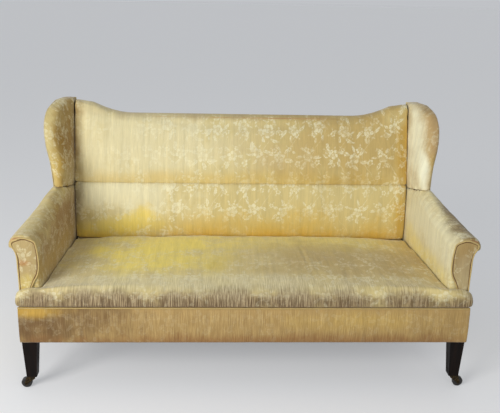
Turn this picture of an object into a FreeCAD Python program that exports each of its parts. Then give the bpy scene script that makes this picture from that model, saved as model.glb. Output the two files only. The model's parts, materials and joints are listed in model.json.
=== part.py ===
import math
import os

import FreeCAD
import Part
import Sketcher

V = FreeCAD.Vector
doc = FreeCAD.newDocument("high_back_settee")

# Driving dimensions in millimetres.
# x runs across from the middle, and y runs back from the face of the front border.
# z runs up from a working level that is "lift" above the floor, so that the castors set the height.
# Left and right are as seen by someone standing in front of the settee.
SIZES = [
    ("front_y", -418, "where the face of the front border stands in the part's own frame"),
    ("lift", 9, "height of the working level above the floor"),
    ("frame_half", 884, "half the width of the seat frame at the front"),
    ("frame_back_half", 826, "half the width of the covered frame at the back"),
    ("back_half", 817, "half the width of the frame over the back posts"),
    ("rail_front", 8, "front face of the front rail"),
    ("rail_thick", 32, "thickness of the seat rails"),
    ("rail_low", 208, "underside of the seat rails"),
    ("rail_tall", 110, "depth of the seat rails"),
    ("leg_low", 45, "foot of the legs above the floor"),
    ("leg_top", 203, "where the taper of the legs starts"),
    ("leg_square", 58, "front leg at the top"),
    ("leg_foot", 40, "front leg at the foot"),
    ("foot_inset", 8, "how far the foot of a front leg stands in from the outer faces"),
    ("back_front", 728, "front face of the back posts at the seat rail"),
    ("post_wide", 45, "width of the back posts"),
    ("post_deep", 54, "depth of the back posts at the seat rail"),
    ("post_top", 1012, "top of the back posts"),
    ("post_top_deep", 42, "depth of the back posts at the top"),
    ("back_rake", 78, "how far the back frame leans back by its top"),
    ("foot_kick", 42, "how far the foot of a back leg kicks back"),
    ("foot_deep", 38, "depth of a back leg at the foot"),
    ("board", 28, "thickness of the boards in the back frame"),
    ("back_rail_in", 16, "how far the back rail stands behind the front of the posts"),
    ("cross_x", 250, "distance of a cross rail from the middle"),
    ("cross_wide", 40, "width of a cross rail"),
    ("cross_deep", 38, "depth of a cross rail"),
    ("block_tall", 70, "height of a corner block"),
    ("stuff_low", 372, "underside of the stuffing rail of the back"),
    ("stuff_tall", 40, "depth of the stuffing rail of the back"),
    ("top_rail_low", 902, "underside of the top rail of the back"),
    ("upright_x", 260, "distance of an inner upright from the middle"),
    ("upright_wide", 44, "width of an inner upright"),
    ("top_mid", 973, "top of the back at the middle"),
    ("top_rise", 48, "how far the shoulders rise above the middle"),
    ("ear_rise", 10, "further rise from the shoulder to the wing"),
    ("shoulder_in", 530, "where the rise to the shoulder starts"),
    ("shoulder_out", 695, "where the rise to the shoulder ends"),
    ("back_pad_half", 778, "half the width of the upper back pad"),
    ("seam_z", 666, "seam between the upper and lower back"),
    ("lip_out", 18, "how far the seat lip stands in front of the border"),
    ("seat_low", 358, "underside of the seat pad"),
    ("seat_front_z", 428, "top of the seat at the front"),
    ("seat_mid_z", 446, "crown of the seat"),
    ("seat_back_z", 436, "top of the seat at the back"),
    ("seat_half", 898, "half the width of the seat lip"),
    ("arm_in_front", 806, "inner face of the arm at the front"),
    ("arm_in_back", 778, "inner face of the arm at the back"),
    ("arm_front", 41, "front of the arm pad"),
    ("arm_board", 32, "thickness of the arm front board"),
    ("scroll_out", 922, "outermost point of the arm scroll"),
    ("castor_trail", 25, "distance from the swivel to the axle of a castor"),
    ("wheel_r", 21, "radius of a castor wheel"),
    ("wheel_wide", 21, "width of a castor wheel"),
    ("wheel_bore", 2.6, "radius of the bore of a castor wheel"),
    ("axle_r", 2.5, "radius of a castor axle"),
    ("stem_r", 5, "radius of a castor stem"),
    ("socket_r", 7.5, "outer radius of a castor socket"),
    ("socket_deep", 24.5, "how far a castor socket reaches up into the leg"),
    ("plate", 2.5, "thickness of a castor plate"),
    ("plate_wide", 36, "width of a castor plate"),
    ("head_r", 4.2, "radius of the heads of a castor axle"),
    ("head_thick", 1.45, "thickness of the heads of a castor axle"),
    ("swivel_z", 51.2, "top of the castor fork above the floor"),
    ("fork_wide", 29.6, "width of a castor fork over its cheeks"),
    ("fork_slot", 23, "width of the slot between the cheeks"),
    ("spring_wire", 2, "radius of the spring wire"),
    ("spring_r", 42, "radius of a seat spring at its ends"),
    ("spring_waist", 27, "radius of a seat spring at its waist"),
    ("spring_turns", 4.5, "turns of a seat spring"),
]

sheet = doc.addObject("Spreadsheet::Sheet", "dims")
for row, (alias, value, words) in enumerate(SIZES, start=1):
    sheet.set("A%d" % row, words)
    sheet.set("B%d" % row, str(value))
    sheet.setAlias("B%d" % row, alias)
doc.recompute()

SIZE = {alias: float(value) for alias, value, words in SIZES}
GAP = 0.5
RAIL_TOP = SIZE["rail_low"] + SIZE["rail_tall"]
SIDE_TAPER = (SIZE["frame_half"] - SIZE["frame_back_half"]) / (SIZE["back_front"] - SIZE["rail_front"])
FRONT_LEAN = SIZE["back_rake"] / (SIZE["post_top"] - RAIL_TOP)
REAR_RAKE = SIZE["back_rake"] + SIZE["post_top_deep"] - SIZE["post_deep"]
REAR_LEAN = REAR_RAKE / (SIZE["post_top"] - SIZE["leg_top"])
parts = []


# Helpers for the parametric pieces

def calc(expression):
    return float(sheet.evalExpression(expression))


def bind(piece, prop, expression):
    piece.setExpression(prop, expression)


def place(piece, x="0", y="0", z="0", turn=None):
    if turn is not None:
        piece.Placement.Rotation = turn
    bind(piece, "Placement.Base.x", x)
    bind(piece, "Placement.Base.y", "dims.front_y + " + y)
    bind(piece, "Placement.Base.z", "dims.lift + " + z)


def keep(piece, label):
    piece.Label = label
    parts.append(piece)
    return piece


def box(name, low, size, turn=None):
    piece = doc.addObject("Part::Box", name)
    for prop, expression in zip(("Length", "Width", "Height"), size):
        bind(piece, prop, expression)
    place(piece, low[0], low[1], low[2], turn)
    return piece


def cylinder(name, radius, height, low):
    piece = doc.addObject("Part::Cylinder", name)
    bind(piece, "Radius", radius)
    bind(piece, "Height", height)
    place(piece, low[0], low[1], low[2])
    return piece


def body(name):
    return doc.addObject("PartDesign::Body", name)


def plane(host, role):
    return [item for item in host.Origin.OriginFeatures if item.Role == role][0]


def sketch(host, name, role, lift="0"):
    piece = host.newObject("Sketcher::SketchObject", name)
    piece.AttachmentSupport = [(plane(host, role), "")]
    piece.MapMode = "FlatFace"
    if lift != "0":
        bind(piece, "AttachmentOffset.Base.z", lift)
    return piece


def outline(piece, corners):
    """Close an outline through corners. A corner is a pair of expressions, and a pair after
    the word "via" is a point that the arc between its neighbours passes through."""
    steps = []
    for corner in corners:
        if corner[0] == "via":
            steps[-1] = (steps[-1][0], corner[1:])
        else:
            steps.append((corner, None))
    for index, (start, middle) in enumerate(steps):
        end = steps[(index + 1) % len(steps)][0]
        first = V(calc(start[0]), calc(start[1]), 0)
        last = V(calc(end[0]), calc(end[1]), 0)
        if middle:
            arc = Part.Arc(first, V(calc(middle[0]), calc(middle[1]), 0), last)
            edge = piece.addGeometry(arc)
            flipped = (piece.getPoint(edge, 1) - first).Length > 0.001
            ends = ((1, end), (2, start)) if flipped else ((1, start), (2, end))
            radius = piece.Geometry[edge].Radius
            piece.addConstraint(Sketcher.Constraint("Radius", edge, radius))
        else:
            edge = piece.addGeometry(Part.LineSegment(first, last))
            ends = ((1, start), (2, end))
        for point, (across, along) in ends:
            if middle and point == 2:
                continue
            for kind, expression in (("DistanceX", across), ("DistanceY", along)):
                rule = piece.addConstraint(Sketcher.Constraint(kind, edge, point, calc(expression)))
                piece.setExpression("Constraints[%d]" % rule, expression)


def circle(piece, x, y, radius):
    edge = piece.addGeometry(Part.Circle(V(calc(x), calc(y), 0), V(0, 0, 1), calc(radius)))
    for kind, expression in (("DistanceX", x), ("DistanceY", y)):
        rule = piece.addConstraint(Sketcher.Constraint(kind, edge, 3, calc(expression)))
        piece.setExpression("Constraints[%d]" % rule, expression)
    rule = piece.addConstraint(Sketcher.Constraint("Radius", edge, calc(radius)))
    piece.setExpression("Constraints[%d]" % rule, radius)


def pad(host, profile, length, middle=False, reverse=False):
    feature = host.newObject("PartDesign::Pad", profile.Name + "_pad")
    feature.Profile = profile
    bind(feature, "Length", length)
    feature.Midplane = middle
    feature.Reversed = reverse
    return feature


def pocket(host, profile, length, middle=False, reverse=False):
    feature = host.newObject("PartDesign::Pocket", profile.Name + "_pocket")
    feature.Profile = profile
    bind(feature, "Length", length)
    feature.Midplane = middle
    feature.Reversed = reverse
    return feature


def board(label, role, corners, length, start=("0", "0", "0"), turn=None, reverse=False):
    """A board cut to an outline: a sketch on one plane, padded to its thickness."""
    host = body(label)
    profile = sketch(host, label + "_outline", role)
    outline(profile, corners)
    pad(host, profile, length, reverse=reverse)
    place(host, start[0], start[1], start[2], turn)
    return keep(host, label)


def mirrored(source, label):
    piece = doc.addObject("Part::Mirroring", label)
    piece.Source = source
    piece.Base = V(0, 0, 0)
    piece.Normal = V(1, 0, 0)
    return keep(piece, label)


def group(label, members):
    piece = doc.addObject("Part::Compound", label)
    piece.Links = members
    return keep(piece, label)


def formed(label, shape):
    """A soft or lofted piece, built from the front border back and then set in the frame."""
    piece = doc.addObject("Part::Feature", label)
    piece.Shape = shape
    piece.Placement = FreeCAD.Placement(V(0, SIZE["front_y"], SIZE["lift"]), FreeCAD.Rotation())
    return keep(piece, label)


# Helpers for the soft pieces

def wire(points):
    """A closed wire. Three points in one entry are an arc that starts there."""
    edges = []
    for index, entry in enumerate(points):
        following = points[(index + 1) % len(points)]
        end = following[0] if isinstance(following, list) else following
        if isinstance(entry, list):
            edges.append(Part.Arc(V(*entry[0]), V(*entry[1]), V(*end)).toShape())
        else:
            edges.append(Part.LineSegment(V(*entry), V(*end)).toShape())
    return Part.Wire(edges)


def loft(sections):
    return Part.makeLoft([wire(section) for section in sections], True, True)


def prism(points, direction):
    return Part.Face(wire(points)).extrude(V(*direction))


def frame_x(y):
    """Outer face of the side frame, which narrows towards the back."""
    return SIZE["frame_half"] - SIDE_TAPER * (y - SIZE["rail_front"])


ARM_END = 664


def arm_x(y):
    """Inner face of the arm pad, which runs straight behind the front of the back pad."""
    run = (y - SIZE["arm_front"]) / (ARM_END - SIZE["arm_front"])
    return SIZE["arm_in_front"] + (SIZE["arm_in_back"] - SIZE["arm_in_front"]) * min(run, 1)


def back_y(z):
    """Front plane of the back frame, which leans back."""
    return SIZE["back_front"] + FRONT_LEAN * (z - RAIL_TOP)


def rear_y(z):
    """Rear plane of the back frame."""
    return SIZE["back_front"] + SIZE["post_deep"] + REAR_LEAN * (z - SIZE["leg_top"])


def back_top(x):
    """Height of the back's top edge: level in the middle, rising to a shoulder at each end."""
    x = abs(x)
    run = (x - SIZE["shoulder_in"]) / (SIZE["shoulder_out"] - SIZE["shoulder_in"])
    ear = (x - SIZE["shoulder_out"]) / (SIZE["back_pad_half"] - SIZE["shoulder_out"])
    rise = SIZE["top_rise"] * min(max(run, 0), 1) ** 1.7
    return SIZE["top_mid"] + rise + SIZE["ear_rise"] * max(ear, 0)


def between(table, at):
    """Read a short table of stations, joining them with straight runs."""
    for (low, *first), (high, *second) in zip(table, table[1:]):
        if at <= high:
            run = (at - low) / (high - low)
            return [a + (b - a) * run for a, b in zip(first, second)]
    return list(table[-1][1:])


# Seat frame

box("front_rail", ("-(dims.frame_half - dims.leg_square)", "dims.rail_front", "dims.rail_low"),
    ("2 * (dims.frame_half - dims.leg_square)", "dims.rail_thick", "dims.rail_tall"))
keep(doc.front_rail, "front_rail")

BACK_IN = "(dims.back_half - dims.post_wide)"
BACK_RAIL_Y = "dims.back_front + dims.back_rail_in"
box("back_rail", ("-" + BACK_IN, BACK_RAIL_Y, "dims.rail_low"),
    ("2 * " + BACK_IN, "dims.rail_thick", "dims.rail_tall"))
keep(doc.back_rail, "back_rail")

SIDE_FRONT = "dims.rail_front + dims.leg_square"
right_side_rail = board("right_side_rail", "XY_Plane", [
    ("dims.frame_half - 5 - dims.rail_thick", SIDE_FRONT),
    ("dims.frame_half - 5", SIDE_FRONT),
    ("dims.back_half + 8", "dims.back_front"),
    ("dims.back_half + 8 - dims.rail_thick", "dims.back_front"),
], "dims.rail_tall", ("0", "0", "dims.rail_low"))
mirrored(right_side_rail, "left_side_rail")

RAIL_REAR = "dims.rail_front + dims.rail_thick"
cross = []
for side in (-1, 1):
    rail = box("cross_rail_%d" % (side + 2),
               ("%d * dims.cross_x - dims.cross_wide / 2" % side, RAIL_REAR, "dims.rail_low + 0.5"),
               ("dims.cross_wide", BACK_RAIL_Y + " - dims.rail_front - dims.rail_thick", "dims.cross_deep"))
    cross.append(rail)
group("seat_cross_rails", cross)

blocks = []
for side in (-1, 1):
    for name, corners in (("front", [
        (str(side) + " * (dims.frame_half - dims.leg_square)", RAIL_REAR),
        (str(side) + " * (dims.frame_half - dims.leg_square - 66)", RAIL_REAR),
        (str(side) + " * (dims.frame_half - dims.leg_square)", SIDE_FRONT),
    ]), ("back", [
        (str(side) + " * (" + BACK_IN + " - 72)", BACK_RAIL_Y),
        (str(side) + " * " + BACK_IN, BACK_RAIL_Y),
        (str(side) + " * " + BACK_IN, "dims.back_front"),
        (str(side) + " * (dims.back_half - 25)", "dims.back_front"),
        (str(side) + " * (dims.back_half - 19)", "dims.back_front - 78"),
    ])):
        block = body("%s_block_%d" % (name, side + 2))
        profile = sketch(block, block.Name + "_outline", "XY_Plane")
        outline(profile, corners)
        pad(block, profile, "dims.block_tall")
        place(block, z="dims.rail_low + 20")
        blocks.append(block)
group("corner_blocks", blocks)


# Legs. A front leg tapers to its foot and runs up as the corner post of the seat frame.

def foot_hole(host, x, y):
    """The blind hole in the foot that takes the castor's socket."""
    hole = sketch(host, host.Name + "_hole", "XY_Plane", "dims.leg_low")
    circle(hole, x, y, "dims.socket_r + 0.1")
    doc.recompute()
    before = host.Shape.Volume
    pocket(host, hole, "dims.socket_deep + 1.5", reverse=True)
    doc.recompute()
    if host.Shape.Volume > before - 1000:
        raise RuntimeError("the socket hole cuts nothing")


front_leg = body("front_right_leg")
FOOT_OUT = "(dims.frame_half - dims.foot_inset)"
FOOT_FRONT = "(dims.rail_front + 6)"
foot = sketch(front_leg, "leg_foot_outline", "XY_Plane", "dims.leg_low")
outline(foot, [
    (FOOT_OUT + " - dims.leg_foot", FOOT_FRONT),
    (FOOT_OUT, FOOT_FRONT),
    (FOOT_OUT, FOOT_FRONT + " + dims.leg_foot"),
    (FOOT_OUT + " - dims.leg_foot", FOOT_FRONT + " + dims.leg_foot"),
])
POST_IN = "dims.frame_half - dims.leg_square"
KNEE = [
    (POST_IN, "dims.rail_front"),
    ("dims.frame_half", "dims.rail_front"),
    ("dims.frame_half - 5", SIDE_FRONT),
    (POST_IN, SIDE_FRONT),
]
knee = sketch(front_leg, "leg_knee_outline", "XY_Plane", "dims.leg_top")
outline(knee, KNEE)
taper = front_leg.newObject("PartDesign::AdditiveLoft", "leg_taper")
taper.Profile = foot
taper.Sections = [knee]
taper.Ruled = True
post = sketch(front_leg, "leg_post_outline", "XY_Plane", "dims.leg_top")
outline(post, KNEE)
pad(front_leg, post, "dims.rail_low + dims.rail_tall - dims.leg_top")
foot_hole(front_leg, FOOT_OUT + " - dims.leg_foot / 2", FOOT_FRONT + " + dims.leg_foot / 2")
place(front_leg)
keep(front_leg, "front_right_leg")
mirrored(front_leg, "front_left_leg")

# A back leg and its upright are cut from one board: the leg kicks back and the upright leans back.
back_post = body("back_right_post")
side_view = sketch(back_post, "post_outline", "YZ_Plane")
outline(side_view, [
    ("dims.back_front + dims.foot_kick", "dims.leg_low"),
    ("dims.back_front + dims.foot_kick + dims.foot_deep", "dims.leg_low"),
    ("dims.back_front + dims.post_deep", "dims.leg_top"),
    ("dims.back_front + dims.back_rake + dims.post_top_deep", "dims.post_top"),
    ("dims.back_front + dims.back_rake", "dims.post_top"),
    ("dims.back_front", "dims.rail_low + dims.rail_tall"),
    ("dims.back_front", "dims.leg_top"),
])
pad(back_post, side_view, "dims.post_wide")
BACK_FOOT_Y = "(dims.back_front + dims.foot_kick + dims.foot_deep / 2)"
foot_hole(back_post, "dims.post_wide / 2", BACK_FOOT_Y)
place(back_post, x="dims.back_half - dims.post_wide")
keep(back_post, "back_right_post")
mirrored(back_post, "back_left_post")

# Back frame, on the leaning front plane of the posts
LEAN_TURN = FreeCAD.Rotation(V(1, 0, 0), -math.degrees(math.atan(FRONT_LEAN)))
LEAN_COS = math.cos(math.atan(FRONT_LEAN))


def lean_base(z):
    return ("dims.back_front + %.5f * (%s - dims.rail_low - dims.rail_tall)" % (FRONT_LEAN, z), z)


def lean_box(name, low_x, wide, low_z, tall, thick, lift="0"):
    y, z = lean_base(low_z)
    return box(name, (low_x, y + " - " + lift, z), (wide, thick, tall), LEAN_TURN)


keep(lean_box("back_stuffing_rail", "-" + BACK_IN, "2 * " + BACK_IN, "dims.stuff_low", "dims.stuff_tall",
              "dims.board"), "back_stuffing_rail")

# Places along the top of the back where its rise to the shoulder is followed
TOP_STATIONS = (735, 695, 680, 665, 635, 605, 570, 530)
PAD_OVER_RAIL = 14
rail_points = [("-" + BACK_IN, "0"), (BACK_IN, "0")]
stations = [SIZE["back_half"] - SIZE["post_wide"]] + list(TOP_STATIONS)
for x in stations + [-x for x in reversed(stations)]:
    rise = back_top(x) - PAD_OVER_RAIL - SIZE["top_rail_low"]
    rail_points.append((str(x), "%.3f" % (rise / LEAN_COS)))
top_y, top_z = lean_base("dims.top_rail_low")
board("top_back_rail", "XZ_Plane", rail_points, "dims.board",
      ("0", top_y, top_z), LEAN_TURN, reverse=True)

UPRIGHT_LOW = "(dims.stuff_low + dims.stuff_tall * %.5f)" % LEAN_COS
uprights = []
for side in (-1, 1):
    uprights.append(lean_box("inner_upright_%d" % (side + 2),
                             "%d * dims.upright_x - dims.upright_wide / 2" % side, "dims.upright_wide",
                             UPRIGHT_LOW, "(dims.top_rail_low - %s) / %.5f" % (UPRIGHT_LOW, LEAN_COS),
                             "dims.board"))
group("inner_back_uprights", uprights)


# Arm frame: the front board is cut to the scroll, and two rails run back to the post.

ARM_RAIL_DEEP = 38
RAIL_ENDS = ((73, 842, 876, 596), (760, 797, 815, 638))
STUFFING_ENDS = ((73, 842, 868, 402), (732, 797, 815, 402))


def scroll(grow, y):
    """The scrolled head of the arm board, or the recess that takes it when grow is the gap."""
    return [
        (842 - grow, y, RAIL_TOP), (876 + grow, y, RAIL_TOP),
        [(876 + grow, y, 550), (881 + grow, y, 574 - grow)],
        [(902 + grow, y, 584 - grow), (910 + grow, y, 603)],
        [(900 + grow, y, 622 + grow), (866, y, 627 + grow)],
        [(833 - grow, y, 618 + grow), (824 - grow, y, 588)],
        [(826 - grow, y, 560), (842 - grow, y, 520)],
    ]


def arm_rail_top(y):
    front, back = RAIL_ENDS
    return front[3] + (back[3] - front[3]) * (y - front[0]) / (back[0] - front[0])


def rail_between(ends, deep):
    sections = []
    for y, inner, outer, top in ends:
        sections.append([(inner, y, top - deep), (outer, y, top - deep), (outer, y, top), (inner, y, top)])
    return loft(sections)


arm_board = prism(scroll(0, SIZE["arm_front"]), (0, SIZE["arm_board"], 0))
mirrored(formed("right_arm_board", arm_board), "left_arm_board")
arm_rail = rail_between(RAIL_ENDS, ARM_RAIL_DEEP)
mirrored(formed("right_arm_rail", arm_rail), "left_arm_rail")
stuffing_rail = rail_between(STUFFING_ENDS, ARM_RAIL_DEEP)
mirrored(formed("right_arm_stuffing_rail", stuffing_rail), "left_arm_stuffing_rail")

# Wing. Stations up the wing: height, nose of the front roll, inner face and outer face at the roll.

WING = [
    (640, 488, 785, 836),
    (703, 489, 787, 834),
    (745, 505, 789, 841),
    (790, 530, 794, 854),
    (850, 564, 810, 877),
    (905, 591, 822, 889),
    (950, 614, 826, 892),
    (985, 640, 824, 889),
    (1012, 669, 819, 881),
    (1013, 671, 818, 880),
    (1026, 704, 812, 869),
    (1036, 742, 806, 857),
    (1041, 764, 800, 848),
]
WING_INNER = SIZE["back_pad_half"] + 1.5
WING_REAR = 836
SEAM_FRONT = (488, 702)
SEAM_BACK = (760, 640)


def seam_at(y):
    run = (y - SEAM_FRONT[0]) / (SEAM_BACK[0] - SEAM_FRONT[0])
    return SEAM_FRONT[1] + (SEAM_BACK[1] - SEAM_FRONT[1]) * run


def side_block(outline_yz):
    """A block over the whole thickness of one side, from its outline seen from the side."""
    return prism([(700, y, z) for y, z in outline_yz], (300, 0, 0))


def below_seam(lift):
    """Everything under the seam between the arm and the wing, which runs level behind the post."""
    low = SEAM_BACK[1] + lift
    return side_block([(0, 100), (900, 100), (900, low), (SEAM_BACK[0], low), (0, seam_at(0) + lift)])


def roll_depth(inner, outer):
    """How deep the rolled front edge is for a wing of this thickness."""
    return (outer - inner) * 0.42


def wing_section(z, nose, inner, outer):
    """Plan of the wing pad: inner face, rolled front edge, outer face and a step round the post."""
    post = back_y(z) - 1
    roll = roll_depth(inner, outer)
    rear = rear_y(z)
    clear = SIZE["back_half"] + 1 if z < SIZE["post_top"] + 0.5 else WING_INNER + 2
    middle = (inner + outer) / 2
    return [
        [(WING_INNER, post, z), ((WING_INNER + inner) / 2 - 3, (post + nose + roll) / 2, z)],
        [(inner, nose + roll, z), (middle, nose, z)],
        (outer, nose + roll, z),
        (WING_REAR, rear, z),
        (clear, rear, z),
        (clear, post, z),
    ]


BOARD_BACK = 33


def wing_board_section(z):
    nose, inner, outer = between(WING, z)
    low = inner + 22
    front = nose + BOARD_BACK
    return [(low, front, z), (low + 20, front, z),
            (SIZE["back_half"] - 1, back_y(z) - 0.2, z), (SIZE["back_half"] - 17, back_y(z) - 0.2, z)]


def grown(section, grow):
    """The board's plan with a little room round it: its corners are the inner and outer ones in front,
    then the outer and inner ones at the post."""
    moved = []
    for (x, y, z), (side, back) in zip(section, ((-1, -grow), (1, -grow), (1, 3), (-1, 3))):
        moved.append((x + side * grow, y + back, z))
    return moved


BOARD_HEIGHTS = (640, 745, 850, 905, 950, 985, 1009)
BOARD_PLAY = 1.5
BOARD_FOOT = 600
below_rail = side_block([(0, 0), (900, 0), (900, arm_rail_top(900) + GAP), (0, arm_rail_top(0) + GAP)])
board_sections = [wing_board_section(z) for z in BOARD_HEIGHTS]
board_foot = [(x, y, BOARD_FOOT) for x, y, z in board_sections[0]]
wing_board = loft([board_foot] + board_sections).cut(below_rail)
void_sections = [grown(section, BOARD_PLAY) for section in board_sections[:-1]]
void_sections.append(grown(wing_board_section(BOARD_HEIGHTS[-1] + 2), BOARD_PLAY))
void_foot = [(x, y, BOARD_FOOT) for x, y, z in void_sections[0]]
wing_void = loft([void_foot] + void_sections)
wing_pad = loft([wing_section(*row) for row in WING]).cut(below_seam(0.3)).cut(wing_void)
mirrored(formed("right_wing_board", wing_board), "left_wing_board")
mirrored(formed("right_inside_wing", wing_pad), "left_inside_wing")


COVER_THICK = 3
COVER_AIR = 0.6
COVER_START = 10


def wing_cover_section(z):
    """Plan of the outer cover, from just behind the roll to the rear of the wing."""
    nose, inner, outer = between(WING, z)
    roll = nose + roll_depth(inner, outer)
    slant = (outer - WING_REAR) / (rear_y(z) - roll)
    front_x = outer - COVER_START * slant + COVER_AIR
    rear_x = WING_REAR + COVER_AIR
    return [(front_x, roll + COVER_START, z), (front_x + COVER_THICK, roll + COVER_START, z),
            (rear_x + COVER_THICK, rear_y(z), z), (rear_x, rear_y(z), z)]


wing_cover = loft([wing_cover_section(z) for z in (641, 703, 745, 790, 850, 905, 950, 985, 1012, 1035)])
mirrored(formed("right_outside_wing", wing_cover), "left_outside_wing")


# Arm pad: a wall inside the arm that rolls over the rail into the scroll, as one covered form.
# Stations: how far back, inner and outer side of the hollow for the rails, scroll, top and underside.

ARM = [
    (41, 839.5, 880, SIZE["scroll_out"] - 1, 634, 573),
    (60, 839.5, 880, SIZE["scroll_out"], 637, 573),
    (140, 836, 877, 909, 645, 583),
    (240, 829, 869, 892, 659, 597),
    (340, 822, 861, 874, 678, 616),
    (440, 815, 853, 860, 698, 637),
    (487, 811, 849, 855, 706, 644),
    (518, 809, 847, 852, 706, 644),
]
PAD_LOW = 362


def arm_section(y, hollow_in, hollow_out, scroll_x, top, under):
    inner = arm_x(y)
    hollow_out = min(hollow_out, frame_x(y) + 0.3)
    roof = arm_rail_top(max(y, RAIL_ENDS[0][0])) + 2
    over = scroll_x - hollow_out
    high = (inner + scroll_x) / 2 - 2
    return [
        [(inner + 5, y, PAD_LOW), (inner, y, 470)],
        [(inner + 1, y, top - 70), (inner + 14, y, top - 18)],
        [(high, y, top), (scroll_x - 15, y, top - 12)],
        (scroll_x, y, top - 42),
        (scroll_x - 0.12 * over, y, (top - 42 + under) / 2 - 4),
        (scroll_x - 0.5 * over, y, under),
        (hollow_out, y, under),
        (hollow_out, y, roof),
        (hollow_in, y, roof),
        (hollow_in, y, PAD_LOW),
    ]


def arm_wall_section(y):
    inner = arm_x(y) + 1.5
    outer = 804 - (y - 518) * 0.048
    return [
        [(inner + 5, y, PAD_LOW), (inner, y, 470)],
        (inner + 1, y, 630), (inner + 6, y, 706), (outer, y, 706), (outer, y, PAD_LOW),
    ]


arm_roll = loft([arm_section(*row) for row in ARM])
recess = prism(scroll(GAP, SIZE["arm_front"] - 5), (0, SIZE["arm_board"] + 5.5, 0))
arm_wall = loft([arm_wall_section(y) for y in (512, 600, 730)])
arm_pad = arm_roll.cut(recess).fuse(arm_wall).common(below_seam(0))
mirrored(formed("right_inside_arm", arm_pad), "left_inside_arm")

# Arm facing: the shield-shaped padded panel on the front of the arm, crowned in the middle

FACING_BACK = SIZE["arm_front"] - 0.5


def facing_outline(y, shrink):
    return [
        (852 + shrink, y, 366 + shrink),
        (870 - shrink, y, 366 + shrink),
        [(873 - shrink, y, 500), (881 - shrink, y, 566)],
        [(892 - shrink, y, 582), (894 - shrink, y, 603)],
        [(886 - shrink, y, 619 - shrink), (858, y, 623 - shrink)],
        [(818 + shrink, y, 612 - shrink), (810 + shrink, y, 556)],
        [(813 + shrink, y, 480), (846 + shrink, y, 405)],
    ]


facing = loft([facing_outline(FACING_BACK, 0), facing_outline(FACING_BACK - 3, 0),
               facing_outline(FACING_BACK - 6, 5)])
mirrored(formed("right_arm_facing", facing), "left_arm_facing")

# Outside arm: a flat covered panel on the splayed side of the frame

COVER_TOP = 639.5
side_view = [(9, 202), (780, 202), (rear_y(COVER_TOP) - 1, COVER_TOP), (487, COVER_TOP)]
for y, hollow_in, hollow_out, scroll_x, top, under in reversed(ARM[1:-2]):
    side_view.append((y, under - 2))
side_view += [(SIZE["arm_front"], 571), (SIZE["arm_front"], SIZE["seat_low"] - 1), (9, SIZE["seat_low"] - 1)]
outside_arm = prism([(frame_x(y) + 0.8, y, z) for y, z in side_view], (4, 0, 0))
mirrored(formed("right_outside_arm", outside_arm), "left_outside_arm")

# Seat: webbing, springs, hessian and stuffing under one crowned pad with a rolled lip

SPRING_PITCH = 250
STRAP_WIDE = 50
STRAP_THICK = 1.6
UNDER_STRAP_Z = 204.6
OVER_STRAP_Z = UNDER_STRAP_Z + STRAP_THICK + 0.1
SPRING_LOW = OVER_STRAP_Z + STRAP_THICK + GAP
straps = []
for index in range(6):
    x = (index - 2.5) * SPRING_PITCH
    for shift in (-60, 60):
        start = V(x + shift - STRAP_WIDE / 2, 12, UNDER_STRAP_Z)
        straps.append(Part.makeBox(STRAP_WIDE, 738, STRAP_THICK, start))
for y in (130, 250, 370, 490, 610):
    reach = frame_x(y) - 44
    start = V(-reach, y - STRAP_WIDE / 2, OVER_STRAP_Z)
    straps.append(Part.makeBox(2 * reach, STRAP_WIDE, STRAP_THICK, start))
formed("seat_webbing", Part.makeCompound(straps))


RUNS = 6


def spring(x, y, low, high):
    """A waisted coil spring: four-sided wire, a few straight runs to a turn, one unbroken tube."""
    steps = int(SIZE["spring_turns"] * RUNS)
    wire_r = SIZE["spring_wire"]
    rise = high - low - 2 * wire_r
    rings = []
    for step in range(steps + 1):
        turn = step / RUNS * 2 * math.pi
        along = step / steps
        waist = 1 - abs(2 * along - 1) ** 1.5
        radius = SIZE["spring_r"] - (SIZE["spring_r"] - SIZE["spring_waist"]) * waist
        out = V(math.cos(turn), math.sin(turn), 0)
        centre = V(x, y, low + wire_r + rise * along) + out * radius
        ring = []
        for corner in range(4):
            angle = corner / 4 * 2 * math.pi
            point = centre + out * (wire_r * math.cos(angle)) + V(0, 0, wire_r * math.sin(angle))
            ring.append(tuple(point))
        rings.append(wire(ring))
    return Part.makeLoft(rings, True, True)


springs = []
for x in range(6):
    for y in range(3):
        springs.append(spring((x - 2.5) * SPRING_PITCH, 180 + y * 195, SPRING_LOW, RAIL_TOP))
rise = RAIL_TOP - SPRING_LOW - 2 * SIZE["spring_wire"]
turn_gap = rise / SIZE["spring_turns"] - 2 * SIZE["spring_wire"]
print("least gap between the turns of a spring: %.1f mm" % turn_gap)
formed("seat_springs", Part.makeCompound(springs))


def plan(corners, low, high):
    both = [(x, y, low) for x, y in corners] + [(-x, y, low) for x, y in reversed(corners)]
    return prism(both, (0, 0, high - low))


formed("bottom_cloth", plan([(822, 10), (791, 726), (770, 726), (770, 774)], 202.4, 204))
formed("seat_hessian", plan([(834, 42), (786, 700), (768, 726), (768, 772)], 318.3, 319.8))
formed("seat_first_stuffing", plan([(832, 42), (784, 700), (766, 724)], 320.4, 357.4))

ROLL_HALF = SIZE["frame_half"] - 2
edge_roll = prism([
    (-ROLL_HALF, 9, RAIL_TOP + 0.4),
    (-ROLL_HALF, 40, RAIL_TOP + 0.4),
    [(-ROLL_HALF, 40, 345), (-ROLL_HALF, 34, 355)],
    [(-ROLL_HALF, 24, 357.5), (-ROLL_HALF, 14, 355)],
    (-ROLL_HALF, 9, 345),
], (2 * ROLL_HALF, 0, 0))
formed("seat_edge_roll", edge_roll)

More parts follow.
